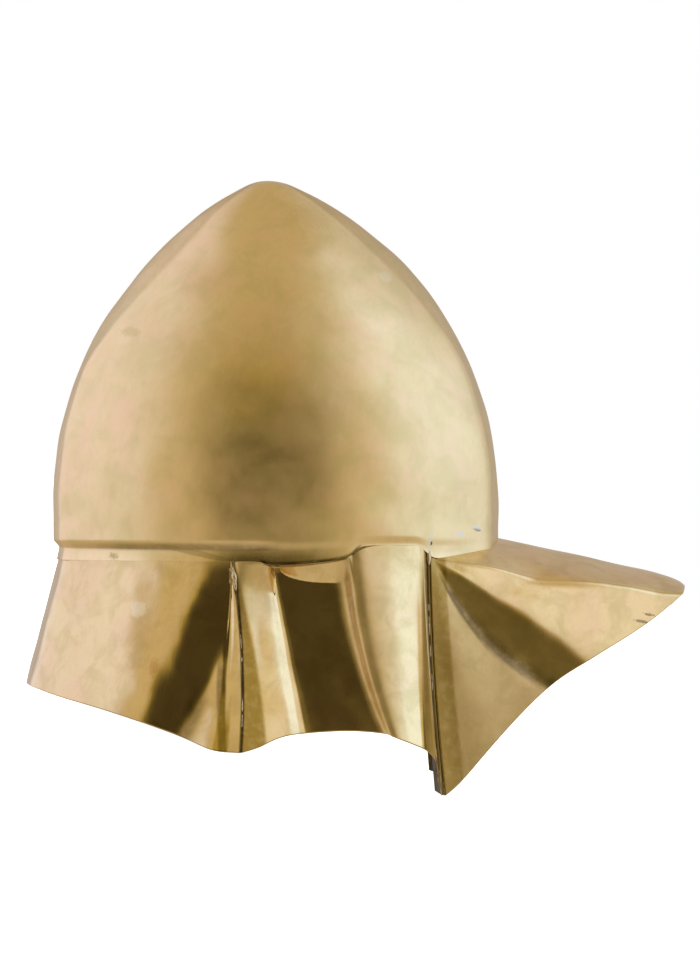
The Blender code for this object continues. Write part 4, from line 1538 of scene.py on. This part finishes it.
TENT_BEHIND: Colour = (0.57, 0.50, 0.45)
LIGHT_TENT = (
    Panel((-181.0, 181.0), (48.0, 91.0), 10.0, (0.60, 0.49, 0.29)),  # roof
    Panel((-150.0, -66.0), (-90.0, 50.0), 9.0, (1.04, 1.02, 1.22)),  # wall beside the nape
    Panel((-66.0, -38.0), (-90.0, 50.0), 9.0, (0.72, 0.60, 0.38)),  # its edge by the opening
    Panel((105.0, 155.0), (-90.0, 55.0), 10.0, (0.72, 0.70, 0.72)),  # wall ahead of the visor
    Panel((60.0, 105.0), (-90.0, 60.0), 8.0, (1.13, 1.31, 1.65)),  # wall beside the visor
    Panel((40.0, 60.0), (-90.0, 55.0), 7.0, (0.78, 0.67, 0.40)),  # its edge by the opening
    Panel((28.0, 64.0), (26.0, 50.0), 5.0, (1.00, 0.98, 1.02)),  # lit upper part of that edge
    Panel((-181.0, 181.0), (-91.0, -9.0), 6.0, (0.66, 0.56, 0.40)),  # table
    Panel((-38.0, 28.0), (-8.0, 46.0), 6.0, (0.54, 0.41, 0.09)),  # opening for the camera
    Panel((28.0, 42.0), (-8.0, 24.0), 6.0, (0.62, 0.51, 0.24)),  # its lower right part
    Panel((-33.0, 27.0), (-3.0, 30.0), 4.0, (0.16, 0.13, 0.05)),  # room behind the camera
    Panel((-27.0, 8.0), (-3.0, 27.0), 4.0, (0.075, 0.056, 0.022)),  # its darker left part
)


@dataclass
class Studio:
    """The plain studio: a seamless pale floor, a light tent, and the camera at its opening."""

    distance: float = 2600.0  # from the plane of symmetry, in the worn frame's millimetres
    aim: tuple[float, float] = (40.0, 29.7)  # x and z of the point in the middle of the view
    view_height: float = 529.2  # millimetres seen from top to bottom at the plane of symmetry
    sensor: float = 36.0
    floor_half: float = 12.0  # metres

    def camera(self, pose: RestPose) -> None:
        """The camera, level with the helmet's side and rolled as the helmet is tilted."""
        data = bpy.data.cameras.new("camera")
        data.sensor_width = self.sensor
        data.lens = self.sensor * self.distance / self.view_height
        data.clip_end = 100.0
        thing = bpy.data.objects.new("camera", data)
        bpy.context.scene.collection.objects.link(thing)
        eye = pose.place(np.array([self.aim[0], -self.distance, self.aim[1]]))
        turn = Matrix(pose.turn().tolist()).to_4x4()
        thing.matrix_world = Matrix.Translation(eye) @ turn @ Matrix.Rotation(math.pi / 2, 4, "X")
        bpy.context.scene.camera = thing

    def floor(self) -> None:
        """A wide pale floor that diffuse light and shadows fall on."""
        corners = self.floor_half * np.array([(-1, -1, 0), (1, -1, 0), (1, 1, 0), (-1, 1, 0)], float)
        thing = add_mesh("floor", corners, [np.array([[0, 1, 2, 3]])], {})
        made = bpy.data.materials.new("floor")
        made.use_nodes = True
        shader = made.node_tree.nodes["Principled BSDF"]
        pale: dict[str, Value] = {"Base Color": (0.92, 0.92, 0.92), "Roughness": 0.9}
        pale |= {"Emission Color": (1.0, 1.0, 1.0), "Emission Strength": 1.0}
        for title, value in pale.items():
            Wiring(made.node_tree).feed(shader.inputs[title], value)
        thing.data.materials.append(made)
        thing.visible_glossy = False

    def tent(self) -> None:
        """The light tent as the world: panels laid over each other by azimuth and elevation."""
        world = bpy.data.worlds.new("light_tent")
        bpy.context.scene.world = world
        world.use_nodes = True
        wiring = Wiring(world.node_tree)
        direction = wiring.node("ShaderNodeTexCoord").outputs["Generated"]
        turn = {"Vector": direction, "Angle": REST_TILT}
        level = wiring.run("ShaderNodeVectorRotate", 0, turn, rotation_type="Y_AXIS")
        parts = wiring.node("ShaderNodeSeparateXYZ")
        wiring.feed(parts.inputs[0], level)
        toward = wiring.product(parts.outputs["Y"], -1.0)
        azimuth = wiring.math("DEGREES", wiring.math("ARCTAN2", parts.outputs["X"], toward))
        elevation = wiring.math("DEGREES", wiring.math("ARCSINE", parts.outputs["Z"]))

        def window(value: Socket, span: Span, soft: float) -> Socket:
            rising = wiring.ease(value, span[0] - soft, span[0] + soft)
            falling = wiring.ease(value, span[1] - soft, span[1] + soft, 1.0, 0.0)
            return wiring.product(rising, falling)

        colour: Value = TENT_BEHIND
        for panel in LIGHT_TENT:
            beside = window(azimuth, panel.azimuth, panel.soft)
            level = window(elevation, panel.elevation, panel.soft)
            colour = wiring.mix(wiring.product(beside, level), colour, panel.colour)
        seen = wiring.run("ShaderNodeLightPath", "Is Camera Ray", {})
        colour = wiring.mix(seen, colour, (1.0, 1.0, 1.0))
        wiring.feed(world.node_tree.nodes["Background"].inputs["Color"], colour)

    def build(self, pose: RestPose) -> None:
        """Make the floor, the tent and the camera, with plain colour management."""
        bpy.context.scene.view_settings.view_transform = "Standard"
        self.floor()
        self.tent()
        self.camera(pose)


def main() -> None:
    """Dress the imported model."""
    logging.basicConfig(level=logging.INFO, format="%(message)s")
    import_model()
    skull = Skull()
    shell = skull.sheet()
    pose = RestPose.matching("skull", shell.face)
    effects = Effects.built()
    satin, bright, inside, dull_shaded, solder = (
        finish.material(effects, pose) for finish in (SATIN, BRIGHT, INSIDE, DULL_SHADED, SOLDER)
    )
    shell.build(pose, "skull", satin, inside)
    NeckGuard().sheet(skull).build(pose, "neck_guard", bright, inside)
    Visor().sheet(skull).build(pose, "visor", bright, inside)
    for side in Side:
        name = side.name.lower()
        EarPanel().sheet(skull, side).build(pose, f"ear_panel_{name}", bright, inside)
        SeamStrip().sheet(side).build(pose, f"seam_strip_{name}", dull_shaded, dull_shaded)
        runs = (("rear", REAR_PLEAT, REAR_BEADS), ("front", FRONT_PLEAT, FRONT_BEADS))
        for where, pleat, beads in runs:
            Solder().build(pose, f"{where}_solder_{name}", pleat, beads, side, solder)
    Studio().build(pose)


if __name__ == "__main__":
    main()
